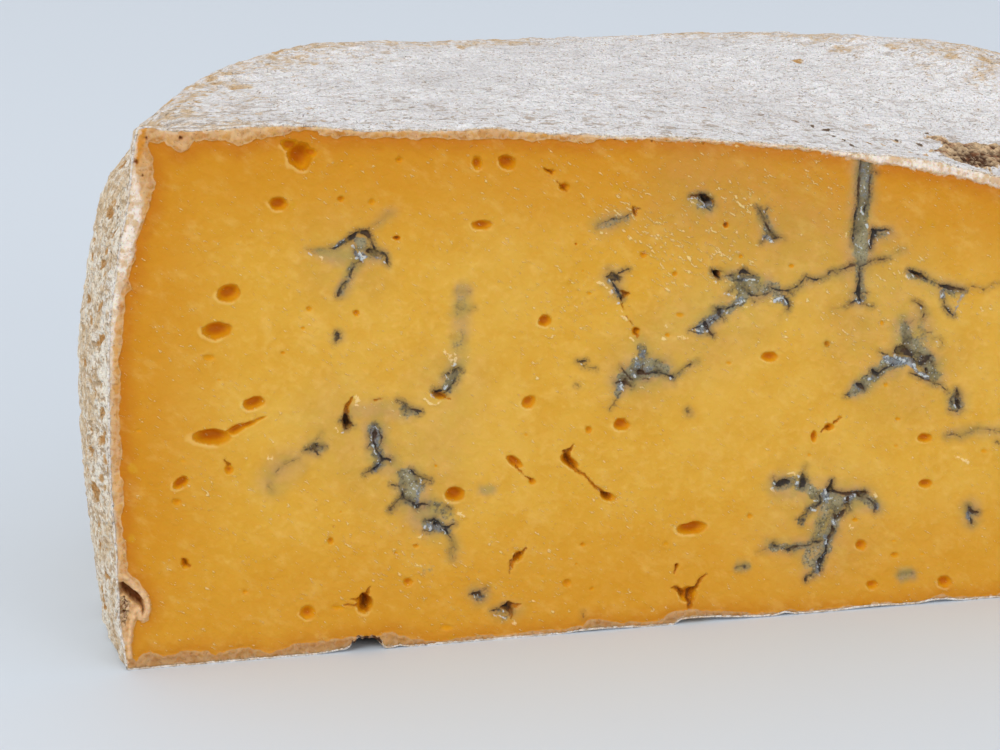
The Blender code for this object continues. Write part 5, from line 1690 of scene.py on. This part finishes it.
def face_levels(places):
    """Fine where something small shows, coarse where the paste is plain or the photograph ends."""
    fields = face_fields(places)
    in_vein = (fields["core"] > 0.0) | (fields["glint"] > 0.0)
    small = np.minimum.reduce([fields["eye_gap"], fields["crack_gap"], np.where(in_vein, 0.0, 20.0)])
    fold_near = np.maximum(fields["rope"], fields["crumbs"]) > -3.0
    seen = places[:, 0] < VIEW_END
    at_edge = np.abs(fields["edge"]) < 0.45
    fine = (small < 1.7) | (fields["spread"] < 1.0) & (fields["eye_gap"] < 3.4) | fold_near
    fine |= (at_edge | (fields["holes"] > -1.5)) & seen
    middle = (small < 6.0) | (fields["body"] > 0.05) | (fields["slate"] > 0.05) | (fields["glow"] > 0.05)
    middle |= fields["edge"] < 1.0
    return np.where(fine, 0, np.where(middle, 1, 2))


# What the paste's points carry for its material: fields as they are, and those worked out from them
PLAIN_FIELDS = ("edge", "crust", "crack", "core", "glow", "body", "slate", "glint", "stain", "lip")
MADE_FIELDS = ("eye", "amber", "loose", "hollow", "rope", "smear")


def add_face(pool, places, fields, back):
    """Adds points of the cut face, `back` behind its plane, and returns their numbers."""
    rope = smooth_step(0.0, 2.0, fields["rope"])
    off_rope = 1.0 - rope
    hollow = np.maximum.reduce([
        smooth_step(0.0, 2.0, fields["hollow"]) * off_rope,
        smooth_step(0.0, 1.2, fields["dark"]),
        smooth_step(-0.3, 1.2, fields["holes"]),
    ])
    loose = smooth_step(0.0, 1.6, fields["crumbs"]) * off_rope
    points = np.stack([places[:, 0] - HALF_CUT, CUT_Y + back, places[:, 1]], 1)
    return pool.add(points, eye=np.clip(1.0 - fields["spread"], -1.0, 3.0),
                    amber=smooth_step(-1.0, 2.0, fields["amber"]), loose=loose, hollow=hollow, rope=rope,
                    smear=smear_and_highlight_field(fields["pixels"]), **{name: fields[name] for name in PLAIN_FIELDS})


def make_paste(outer, into):
    """The paste: the cut face within the crust's lip, and a hidden shell behind it."""
    pool = Pool(PLAIN_FIELDS + MADE_FIELDS)
    border = (outer + 0.2 * into)[:, [0, 2]] + (HALF_CUT, 0.0)
    ring = add_face(pool, border, face_fields(border), np.zeros(len(border)))
    inner = graded((0.0, 0.0), (FACE_LENGTH + 1.0, HEIGHT + 2.0), FACE_FINE, face_levels, 151)
    fields = face_fields(inner)
    keep = (fields["from_edge"] > 0.5) & inside(inner, border)
    inner = inner[keep]
    fields = {name: field[keep] for name, field in fields.items()}
    body = add_face(pool, inner, fields, face_relief(inner, fields))
    pool.face(fill(ring[::-1], border[::-1], body, inner, flip=False))
    deeper = outer + 0.3 * into
    deeper[:, 1] = CUT_Y + 0.4 + 3.6 * fold_room(deeper)
    second = pool.add(deeper)
    pool.face(strip(ring, second, flip=False))
    hidden_shell(pool, second, *loop_places(), inset=3.2, first_gap=5.0, flip=False)
    return pool.mesh("cheese_paste")


# ---------------------------------------------------------------------------------------------
# Materials
# ---------------------------------------------------------------------------------------------
def tint(red, green, blue):
    """A colour given as 0 to 255 values, as the shader wants it."""
    parts = [value / 255.0 for value in (red, green, blue)]
    return [part / 12.92 if part <= 0.04045 else ((part + 0.055) / 1.055) ** 2.4 for part in parts] + [1.0]


# The paste
PASTE_ORANGE = tint(215, 162, 51)
PASTE_YELLOW = tint(218, 170, 66)
PASTE_OCHRE = tint(209, 152, 36)
PASTE_BUTTER = tint(223, 174, 76)
PASTE_CREAM = tint(230, 188, 98)
RIM_ORANGE = tint(203, 136, 18)
RIM_BROWN = tint(188, 108, 2)
BURIED_EYE = tint(204, 146, 20)
STAIN_OLIVE = tint(160, 143, 84)
STAIN_TAN = tint(178, 143, 98)
PALE_STREAK = tint(236, 200, 116)
# Painted highlight on the lower left of the eyes' lips
EYE_LIP_HIGHLIGHT = tint(244, 210, 132)
# Painted shade deepening the eyes' hollows and the cracks, orange at their sides, brown in their depths
EYE_RIM_SHADE = tint(218, 150, 6)
EYE_WALL_SHADE = tint(197, 111, 0)
EYE_DEEP_SHADE = tint(122, 84, 16)
TORN_SIDE_SHADE = tint(196, 122, 10)
TORN_DEEP_SHADE = tint(120, 62, 10)
# Painted highlight on the knife's flecks
KNIFE_FLECK_HIGHLIGHT = tint(255, 228, 164)
# The veins
MOULD_DARK = tint(122, 112, 80)
MOULD_LIGHT = tint(148, 140, 108)
SLATE_DARK = tint(88, 92, 96)
SLATE_LIGHT = tint(150, 160, 168)
VEIN_GLOW = tint(98, 82, 62)
GRANULE = tint(66, 58, 52)
# Dark mould of the vein lines and holes, with painted shade in their depths
VEIN_BLACK_AND_SHADE = tint(44, 37, 36)
VEIN_BROWN_AND_SHADE = tint(76, 50, 30)
# Painted highlights: sparkles on the paste and on the mould
HIGHLIGHT_ON_PASTE = tint(246, 218, 160)
HIGHLIGHT_ON_MOULD = tint(206, 212, 214)
# The rind's section on the cut, with its fold
SECTION_TAN = tint(202, 146, 74)
SECTION_BROWN = tint(184, 122, 48)
SECTION_SAND = tint(218, 176, 120)
SECTION_ROSE = tint(194, 142, 98)
SECTION_OUTER = tint(224, 190, 144)
LOBE_OUTLINE = tint(230, 200, 160)
SECTION_INNER = tint(226, 190, 140)
SECTION_SPECK = tint(150, 104, 62)
# Painted shade along the section's foot
SECTION_FOOT_SHADE = tint(146, 104, 58)
AMBER = tint(204, 134, 34)
FOLD_PALE = tint(226, 188, 144)
CRUMB_DARK = tint(110, 72, 44)
CRUMB_LIGHT = tint(214, 184, 146)
CRUST_WHITE = tint(238, 224, 210)
CRUST_TAN = tint(212, 180, 142)
CRUST_WORN = tint(212, 178, 142)
CRUST_SPECK = tint(178, 148, 116)
# Brown painted shade in the fold's hollow, its dark holes and the section's holes
HOLLOW_SHADE = tint(134, 70, 22)
# The rind's outside
BLOOM_WHITE = tint(247, 245, 245)
BLOOM_GREY = tint(234, 231, 231)
BLOOM_CREAM = tint(250, 239, 219)
# Painted shade: wide soft grey patches on the bloom
BLOOM_PAINTED_SHADE = tint(218, 214, 214)
WORN_TAN = tint(219, 187, 143)
TOP_SHADOW = tint(182, 165, 150)
WALL_SHADOW = tint(188, 156, 118)
PORE_BROWN = tint(166, 138, 106)
PIT_TAN = tint(204, 160, 104)
PIT_BROWN = tint(180, 126, 64)
PATCH_PALE = tint(220, 188, 148)
# Painted shade between the hollow's crumbs and in the chip
PATCH_GAP_SHADE = tint(84, 52, 32)
PATCH_RUSTY = tint(160, 104, 70)
PATCH_CRUMB = tint(226, 200, 164)
# Painted shade in the dark gaps of the top
GAP_SHADE = tint(92, 78, 66)
LIP_WHITE = tint(232, 224, 216)
LIP_TAN = tint(208, 184, 156)
# The floor and the sky
FLOOR_GREY = tint(217, 226, 236)
SKY_GREY = tint(240, 241, 243)

KNIFE_TURN = 35.0               # degrees, how far the knife's marks on the cut slope down to the right


class Shade:
    """A material's node tree, with short ways to add nodes, and the colour that it has so far."""

    def __init__(self, name):
        self.material = bpy.data.materials.new(name)
        self.material.use_nodes = True
        self.tree = self.material.node_tree
        self.surface = self.tree.nodes["Principled BSDF"]
        self.place = self.node("ShaderNodeTexCoord").outputs["Object"]
        self.colour = None

    def node(self, kind, inputs=None, **settings):
        """A new node with its inputs, by name or number, and its settings."""
        made = self.tree.nodes.new(kind)
        for name, value in settings.items():
            setattr(made, name, value)
        for name, value in (inputs or {}).items():
            self.put(made.inputs[name], value)
        return made

    def put(self, socket, value):
        """Links another node's output to the socket, or sets its constant."""
        if isinstance(value, bpy.types.NodeSocket):
            self.tree.links.new(value, socket)
        else:
            socket.default_value = value

    def finish(self, **inputs):
        """Sets the surface's inputs, named with _ for a space, and returns the material."""
        for name, value in inputs.items():
            self.put(self.surface.inputs[name.replace("_", " ")], value)
        return self.material

    def value(self, name):
        """One of the mesh's own values."""
        return self.node("ShaderNodeAttribute", attribute_name=name).outputs["Fac"]

    def axis(self, letter):
        """One coordinate of the place, in metres."""
        return self.node("ShaderNodeSeparateXYZ", {"Vector": self.place}).outputs[letter]

    def placed(self, stretch, turn):
        """Coordinates whose features are drawn out `stretch` times, along +X or by axis, turned about Y."""
        if stretch == 1.0:
            return self.place
        scale = stretch if isinstance(stretch, tuple) else (stretch, 1.0, 1.0)
        inputs = {"Vector": self.place, "Rotation": (0.0, math.radians(turn), 0.0), "Scale": scale}
        return self.node("ShaderNodeMapping", inputs, vector_type="TEXTURE").outputs["Vector"]

    def noise(self, size, detail=2.0, roughness=0.5, stretch=1.0, turn=0.0):
        """Noise with features about `size` millimetres across."""
        inputs = {"Vector": self.placed(stretch, turn), "Scale": 1.0 / (size * MM), "Detail": detail,
                  "Roughness": roughness}
        return self.node("ShaderNodeTexNoise", inputs).outputs["Fac"]

    def cells(self, size, channel="Red"):
        """Scattered points about `size` millimetres apart: the distance to one, and a number of its own."""
        made = self.node("ShaderNodeTexVoronoi", {"Vector": self.place, "Scale": 1.0 / (size * MM)})
        split = self.node("ShaderNodeSeparateColor", {"Color": made.outputs["Color"]})
        return made.outputs["Distance"], split.outputs[channel]

    def borders(self, size):
        """Distance to the nearest border between cells about `size` millimetres wide."""
        inputs = {"Vector": self.place, "Scale": 1.0 / (size * MM)}
        made = self.node("ShaderNodeTexVoronoi", inputs, feature="DISTANCE_TO_EDGE")
        return made.outputs["Distance"]

    def span(self, value, low_edge, high_edge, low_value=0.0, high_value=1.0):
        """A smooth rise of the value from one edge to the other."""
        inputs = {"Value": value, "From Min": low_edge, "From Max": high_edge, "To Min": low_value,
                  "To Max": high_value}
        return self.node("ShaderNodeMapRange", inputs, interpolation_type="SMOOTHSTEP").outputs["Result"]

    def math(self, operation, first, second):
        return self.node("ShaderNodeMath", {0: first, 1: second}, operation=operation).outputs["Value"]

    def add(self, first, second):
        return self.math("ADD", first, second)

    def times(self, first, second):
        return self.math("MULTIPLY", first, second)

    def most(self, first, second):
        return self.math("MAXIMUM", first, second)

    def uneven(self, value, noise, amount):
        """The value, raised and lowered by up to `amount` with a noise."""
        return self.add(value, self.span(noise, 0.2, 0.8, -amount, amount))

    def mix(self, share, first, second):
        """The second colour over the first by a share."""
        made = self.node("ShaderNodeMix", {0: share}, data_type="RGBA")
        self.put(made.inputs[6], first)
        self.put(made.inputs[7], second)
        return made.outputs[2]

    def lay(self, share, colour):
        """Lays a colour over the material's own by a share."""
        self.colour = self.mix(share, self.colour, colour)

    def bump(self, height, strength, distance, normal=None):
        """A bump of `distance` millimetres."""
        inputs = {"Height": height, "Strength": strength, "Distance": distance * MM}
        if normal is not None:
            inputs["Normal"] = normal
        return self.node("ShaderNodeBump", inputs).outputs["Normal"]

    def bumps(self, *rows):
        """Bumps one on another: each row has height, strength and distance."""
        normal = None
        for row in rows:
            normal = self.bump(*row, normal)
        return normal


class Paste(Shade):
    """The paste's material. Each `lay` method lays what it names over the colour so far."""

    def __init__(self):
        super().__init__("paste")
        self.edge = self.value("edge")
        self.eye = self.value("eye")
        self.up = self.axis("Z")
        self.wide = self.noise(30.0, 3.0)
        self.middle = self.noise(6.0, 3.0)
        self.small = self.noise(2.6, 2.0)
        self.fine = self.noise(1.3, 3.0, 0.6)
        self.speck = self.noise(0.45, 2.0, 0.6)

    def lay_ground(self):
        """Orange-yellow paste, darker towards the rind, least so at the base."""
        self.colour = self.mix(self.span(self.wide, 0.35, 0.65), PASTE_ORANGE, PASTE_YELLOW)
        self.lay(self.span(self.middle, 0.35, 0.7, 0.0, 0.55), PASTE_OCHRE)
        self.lay(self.span(self.small, 0.5, 0.72, 0.0, 0.4), PASTE_BUTTER)
        self.lay(self.span(self.fine, 0.5, 0.8, 0.0, 0.3), PASTE_CREAM)
        from_base = self.span(self.up, 3.0 * MM, 28.0 * MM, 0.6, 1.0)
        self.lay(self.times(self.span(self.edge, 24.0, 0.5, 0.0, 0.95), from_base), RIM_ORANGE)
        tight_rim = self.span(self.uneven(self.edge, self.fine, 0.3), 3.4, 0.0, 0.0, 0.72)
        self.lay(self.times(tight_rim, from_base), RIM_BROWN)

    def lay_buried_eyes(self):
        """Tiny eyes that lie just under the surface show as deeper yellow spots."""
        gap, chance = self.cells(9.0)
        gap = self.add(gap, self.span(self.small, 0.3, 0.7, -0.03, 0.03))
        buried = self.times(self.span(gap, 0.12, 0.05), self.span(chance, 0.55, 0.56))
        self.lay(self.times(buried, 0.8), BURIED_EYE)

    def lay_stain(self):
        """The dull stain round the veins, and pale streaks over all."""
        stain = self.times(self.value("stain"), self.span(self.middle, 0.25, 0.7, 0.75, 1.15))
        stained = self.mix(self.span(self.small, 0.35, 0.65), STAIN_OLIVE, STAIN_TAN)
        self.lay(self.times(stain, 0.95), stained)
        pale = self.noise(2.8, 4.0, 0.65, 1.8, KNIFE_TURN)
        self.lay(self.span(pale, 0.5, 0.74, 0.0, 0.2), PALE_STREAK)

    def lay_eyes(self):
        """The eyes, with a painted highlight on their lips and painted shade deepening their hollows; then
        the cracks, with painted shade too.
        """
        # Painted highlight on the lower left of the eyes' lips
        self.lay(self.span(self.value("lip"), 0.1, 0.9, 0.0, 0.28), EYE_LIP_HIGHLIGHT)
        # Painted shade deepens the eyes' hollows, darkest in the middles of tiny deep ones
        self.lay(self.span(self.eye, -0.02, 0.16, 0.0, 0.95), EYE_RIM_SHADE)
        self.lay(self.span(self.eye, 0.14, 0.62, 0.0, 0.92), EYE_WALL_SHADE)
        self.lay(self.span(self.eye, 1.0, 1.35, 0.0, 0.75), EYE_DEEP_SHADE)
        # Cracks are painted with shade: amber at their sides, brown in their depths
        crack_shade = self.add(self.value("crack"), self.span(self.speck, 0.25, 0.75, -0.2, 0.2))
        self.lay(self.span(crack_shade, -0.1, 0.25, 0.0, 0.9), TORN_SIDE_SHADE)
        self.lay(self.span(crack_shade, 0.3, 0.9, 0.0, 0.8), TORN_DEEP_SHADE)

    def lay_fleck_highlights(self):
        """Flecks left by the knife, drawn out along its way and painted pale as highlights. Returns how much
        of one each place shows.
        """
        flow = self.noise(5.0, 2.0, 0.5, 3.0, KNIFE_TURN)
        streak = self.noise(0.45, 2.0, 0.6, 2.4, KNIFE_TURN)
        wanted = self.span(self.value("smear"), 0.0, 1.0, 0.065, 0.15)
        wanted = self.times(self.span(flow, 0.25, 0.75, 0.5, 1.1), wanted)
        fleck_and_highlight = self.span(self.add(streak, wanted), 0.71, 0.81)
        # The flecks' pale colour is a painted highlight; their ridges are bumped as well
        self.lay(self.times(fleck_and_highlight, 0.55), KNIFE_FLECK_HIGHLIGHT)
        return fleck_and_highlight

    def lay_veins(self):
        """Grey-green mould with blue-grey parts, the dark lines and holes in dark mould and painted shade,
        and painted highlight sparkles, which it returns.
        """
        small, speck = self.small, self.speck
        ragged = self.add(self.span(self.fine, 0.25, 0.75, -0.25, 0.25),
                          self.span(speck, 0.25, 0.75, -0.12, 0.12))
        body = self.value("body")
        body = self.add(body, self.times(ragged, self.span(body, 0.0, 0.25)))
        body_share = self.span(body, 0.05, 0.75, 0.0, 0.95)
        self.lay(body_share, self.mix(self.span(small, 0.4, 0.6), MOULD_DARK, MOULD_LIGHT))
        slate = self.value("slate")
        slate = self.add(slate, self.times(ragged, self.span(slate, 0.0, 0.25)))
        slate_share = self.span(slate, 0.2, 0.75, 0.0, 0.9)
        self.lay(slate_share, self.mix(self.span(speck, 0.35, 0.62), SLATE_DARK, SLATE_LIGHT))
        near = self.value("glow")
        self.lay(self.times(self.math("POWER", near, 1.5), 0.6), VEIN_GLOW)
        mould = self.most(near, body_share)
        granule = self.times(self.span(speck, 0.5, 0.66), self.span(mould, 0.2, 0.9, 0.0, 0.55))
        self.lay(granule, GRANULE)
        core = self.times(self.value("core"), self.span(small, 0.36, 0.58, 0.72, 1.12))
        core = self.add(core, self.times(ragged, 0.7))
        # The vein lines and holes: dark mould, with painted shade in their depths
        dark_and_shade = self.mix(self.span(self.middle, 0.45, 0.62), VEIN_BLACK_AND_SHADE, VEIN_BROWN_AND_SHADE)
        self.lay(self.span(core, 0.3, 0.95, 0.0, 0.92), dark_and_shade)
        # Painted highlights: loose sparkles on damp mould, and the listed glints
        gap, chance = self.cells(0.42, "Green")
        loose_glint = self.times(self.span(gap, 0.4, 0.15), self.span(chance, 0.8, 0.82))
        damp = self.most(self.times(body_share, 0.75), slate_share)
        loose_glint = self.times(loose_glint, self.span(damp, 0.4, 0.8, 0.0, 0.8))
        glint = self.add(self.value("glint"), self.span(speck, 0.35, 0.65, -0.55, 0.15))
        glint = self.most(self.span(glint, 0.25, 0.8), loose_glint)
        on_mould = self.span(mould, 0.05, 0.4)
        highlight = self.mix(on_mould, HIGHLIGHT_ON_PASTE, HIGHLIGHT_ON_MOULD)
        self.lay(self.times(glint, self.span(on_mould, 0.0, 1.0, 0.6, 0.72)), highlight)
        return glint

    def section_tan(self):
        """The colour of the rind's section: tan lobes with pale outlines, and painted shade along its foot.
        """
        fine = self.fine
        outline = self.uneven(self.borders(2.0), fine, 0.2)
        tan = self.mix(self.span(self.cells(2.0)[1], 0.2, 0.8), SECTION_TAN, SECTION_BROWN)
        tan = self.mix(self.span(fine, 0.45, 0.7, 0.0, 0.4), tan, SECTION_SAND)
        tan = self.mix(self.span(self.small, 0.55, 0.7, 0.0, 0.6), tan, SECTION_ROSE)
        tan = self.mix(self.span(self.edge, -0.4, -1.5, 0.0, 0.3), tan, SECTION_OUTER)
        tan = self.mix(self.span(outline, 0.2, 0.0, 0.0, 0.34), tan, LOBE_OUTLINE)
        tan = self.mix(self.span(self.edge, -0.4, -0.05, 0.0, 0.35), tan, SECTION_INNER)
        tan = self.mix(self.span(self.speck, 0.4, 0.28, 0.0, 0.6), tan, SECTION_SPECK)
        # Darker towards the base: painted shade along the section's foot
        return self.mix(self.span(self.up, 5.0 * MM, 1.5 * MM, 0.0, 0.45), tan, SECTION_FOOT_SHADE)

    def lay_section(self):
        """The rind's section with its fold, the white crust, and brown painted shade in the fold's hollow and
        holes. Returns the section's own share.
        """
        fine, small, speck = self.fine, self.small, self.speck
        section = self.span(self.uneven(self.edge, fine, 0.12), 0.06, -0.08)
        self.lay(section, self.section_tan())
        self.lay(self.times(self.value("amber"), 0.85), AMBER)
        self.lay(self.times(self.value("rope"), 0.75), FOLD_PALE)
        self.lay(self.value("loose"), self.mix(self.span(speck, 0.4, 0.6), CRUMB_DARK, CRUMB_LIGHT))
        ragged_crust = self.add(self.value("crust"), self.span(fine, 0.3, 0.7, -0.45, 0.35))
        white = self.mix(self.span(fine, 0.38, 0.62), CRUST_WHITE, CRUST_TAN)
        white = self.mix(self.span(small, 0.5, 0.66, 0.0, 0.6), white, CRUST_WORN)
        white = self.mix(self.span(speck, 0.42, 0.3, 0.0, 0.6), white, CRUST_SPECK)
        self.lay(self.span(ragged_crust, -0.3, 0.25), white)
        # Brown painted shade in the fold's hollow and the holes
        self.lay(self.times(self.value("hollow"), 0.9), HOLLOW_SHADE)
        return section


def paste_material():
    shade = Paste()
    shade.lay_ground()
    shade.lay_buried_eyes()
    shade.lay_stain()
    shade.lay_eyes()
    fleck_and_highlight = shade.lay_fleck_highlights()
    glint = shade.lay_veins()
    section = shade.lay_section()
    roughness = shade.span(shade.speck, 0.3, 0.7, 0.32, 0.5)
    roughness = shade.add(roughness, shade.times(section, 0.25))
    roughness = shade.add(roughness, shade.span(shade.eye, 0.0, 0.2, 0.0, 0.2))
    roughness = shade.math("SUBTRACT", roughness, shade.times(fleck_and_highlight, 0.2))
    roughness = shade.math("SUBTRACT", roughness, shade.times(glint, 0.2))
    drag = shade.noise(1.6, 2.0, 0.5, 2.5, KNIFE_TURN)
    normal = shade.bumps((drag, 0.6, 0.3), (shade.small, 0.5, 0.35), (shade.fine, 0.4, 0.25),
                         (shade.speck, 0.4, 0.12), (fleck_and_highlight, 0.8, 0.2))
    return shade.finish(Base_Color=shade.colour, Roughness=roughness, Normal=normal, IOR=1.42,
                        Specular_IOR_Level=0.22, Subsurface_Weight=0.25,
                        Subsurface_Radius=(1.0, 0.38, 0.10), Subsurface_Scale=0.9 * MM)


class Rind(Shade):
    """The rind's material. Each `lay` method lays what it names over the colour so far."""

    def __init__(self):
        super().__init__("rind")
        self.bare = self.value("bare")
        self.wall = self.value("wall")
        self.wide = self.noise(26.0, 3.0)
        self.middle = self.noise(6.0, 3.0, 0.6)
        self.small = self.noise(2.2, 3.0, 0.6)
        self.fine = self.noise(1.0, 3.0, 0.65)
        self.pore = self.noise(0.55, 2.0, 0.6)

    def lay_bloom(self):
        """White bloom, creamier on the wall, with wide soft patches of painted shade, and worn through to
        tan.
        """
        self.colour = self.mix(self.span(self.middle, 0.3, 0.7), BLOOM_WHITE, BLOOM_GREY)
        self.lay(self.times(self.wall, 0.9), BLOOM_CREAM)
        # Wide soft grey patches of painted shade
        self.lay(self.times(self.span(self.wide, 0.5, 0.68), 0.4), BLOOM_PAINTED_SHADE)
        worn = self.uneven(self.bare, self.middle, 0.3)
        worn = self.uneven(worn, self.small, 0.3)
        worn = self.uneven(worn, self.fine, 0.4)
        self.lay(self.span(worn, 0.3, 1.05, 0.0, 0.88), WORN_TAN)

    def lay_grain(self):
        """Shadows drawn out on the top and the wall, calmer towards the back. Returns their grain."""
        streak = self.noise(1.5, 3.0, 0.65, 2.2)
        strand = self.noise(1.3, 3.0, 0.65, (1.0, 1.7, 0.9))
        grain = self.add(self.times(streak, self.math("SUBTRACT", 1.0, self.wall)),
                         self.times(strand, self.wall))
        shadow = self.add(grain, self.times(self.bare, -0.06))
        calm = self.span(self.axis("Y"), (CUT_Y + 5.0) * MM, (CUT_Y + 50.0) * MM, 1.0, 0.4)
        self.lay(self.times(self.span(shadow, 0.46, 0.35, 0.0, 0.85), calm),
                 self.mix(self.wall, TOP_SHADOW, WALL_SHADOW))
        return grain

    def lay_pits(self):
        """Fine dark pores, then the tan pits."""
        pores = self.times(self.span(self.pore, 0.44, 0.32), self.span(self.small, 0.35, 0.6, 0.3, 0.95))
        self.lay(pores, PORE_BROWN)
        deep = self.uneven(self.value("pit"), self.fine, 0.35)
        self.lay(self.span(deep, 0.3, 0.7, 0.0, 0.88), PIT_TAN)
        self.lay(self.span(deep, 0.65, 1.1, 0.0, 0.85), PIT_BROWN)

    def lay_patch(self):
        """The crumbly brown hollow, painted dark between its crumbs and in the chip as shade; the dark gaps,
        painted as shade; and the crust's lip on the cut.
        """
        patch = self.value("patch")
        # Dark brown where the hollow's value is high: painted shade between crumbs and in the chip
        brown = self.mix(self.span(patch, 0.5, 1.05), PATCH_PALE, PATCH_GAP_SHADE)
        brown = self.mix(self.span(self.small, 0.5, 0.65, 0.0, 0.6), brown, PATCH_RUSTY)
        brown = self.mix(self.span(self.fine, 0.5, 0.7, 0.0, 0.5), brown, PATCH_CRUMB)
        self.lay(self.span(patch, 0.1, 0.5), brown)
        gap = self.uneven(self.value("cut"), self.fine, 0.2)
        # The dark gaps are painted dark as shade
        self.lay(self.span(gap, 0.3, 0.65, 0.0, 0.9), GAP_SHADE)
        self.lay(self.value("lip"), self.mix(self.span(self.fine, 0.38, 0.66), LIP_WHITE, LIP_TAN))


def rind_material():
    shade = Rind()
    shade.lay_bloom()
    grain = shade.lay_grain()
    shade.lay_pits()
    shade.lay_patch()
    normal = shade.bumps((shade.small, 0.8, 0.8), (grain, 1.0, 1.0), (shade.fine, 1.0, 0.6),
                         (shade.pore, 1.0, 0.3))
    return shade.finish(Base_Color=shade.colour, Roughness=shade.span(shade.fine, 0.3, 0.7, 0.75, 0.95),
                        Normal=normal, Specular_IOR_Level=0.2, Subsurface_Weight=0.08,
                        Subsurface_Radius=(1.0, 0.7, 0.4), Subsurface_Scale=0.6 * MM)


# ---------------------------------------------------------------------------------------------
# The cheese
# ---------------------------------------------------------------------------------------------
rind, outer_loop, into_face = make_rind()
paste = make_paste(outer_loop, into_face)
for piece, material in ((rind, rind_material()), (paste, paste_material())):
    piece.data.materials.append(material)
    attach(piece, "root")
    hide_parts("cheese")


# ---------------------------------------------------------------------------------------------
# The floor, the light and the camera
# ---------------------------------------------------------------------------------------------
FLOOR_HALF = 5.0                # metres
LIGHT_SIZE = 1.4                # metres across
LIGHT_AIM = (0.0, 0.0, 0.04)    # in metres, as are the lights' places
# Name, place, power and colour
LIGHTS = (
    ("window", (-2.0, -1.9, 1.9), 33.0, (1.0, 0.99, 0.97)),
    ("fill", (1.2, -2.8, 0.9), 15.0, (1.0, 0.98, 0.95)),
)
SKY_STRENGTH = 0.88
CLIP_START = 0.01               # metres


def add_object(name, data, place, aim=None):
    """Adds an object at a place in metres, with its -Z towards `aim` if that is given."""
    made = bpy.data.objects.new(name, data)
    made.location = place
    if aim is not None:
        made.rotation_euler = (Vector(aim) - Vector(place)).to_track_quat("-Z", "Y").to_euler()
    bpy.context.scene.collection.objects.link(made)
    return made


def add_floor():
    half = FLOOR_HALF
    corners = [(-half, -half, 0.0), (half, -half, 0.0), (half, half, 0.0), (-half, half, 0.0)]
    data = bpy.data.meshes.new("floor")
    data.from_pydata(corners, [], [(0, 1, 2, 3)])
    data.materials.append(Shade("floor").finish(Base_Color=FLOOR_GREY, Roughness=0.7))
    add_object("floor", data, (0.0, 0.0, 0.0))


def add_light(name, place, power, colour):
    data = bpy.data.lights.new(name, "AREA")
    data.shape = "DISK"
    data.size = LIGHT_SIZE
    data.energy = power
    data.color = colour
    add_object(name, data, place, LIGHT_AIM)


def add_world():
    world = bpy.data.worlds.new("world")
    world.use_nodes = True
    sky = world.node_tree.nodes["Background"]
    sky.inputs["Color"].default_value = SKY_GREY
    sky.inputs["Strength"].default_value = SKY_STRENGTH
    bpy.context.scene.world = world


def add_camera():
    data = bpy.data.cameras.new("camera")
    data.sensor_width = SENSOR
    data.sensor_fit = "HORIZONTAL"
    data.lens = FOCAL / PHOTO_WIDTH * SENSOR
    data.clip_start = CLIP_START
    place = Vector(camera_place * MM)
    bpy.context.scene.camera = add_object("camera", data, place, place + Vector(camera_ahead))


add_floor()
for light in LIGHTS:
    add_light(*light)
add_world()
add_camera()
bpy.context.scene.view_settings.view_transform = "Standard"

bpy.context.view_layer.update()
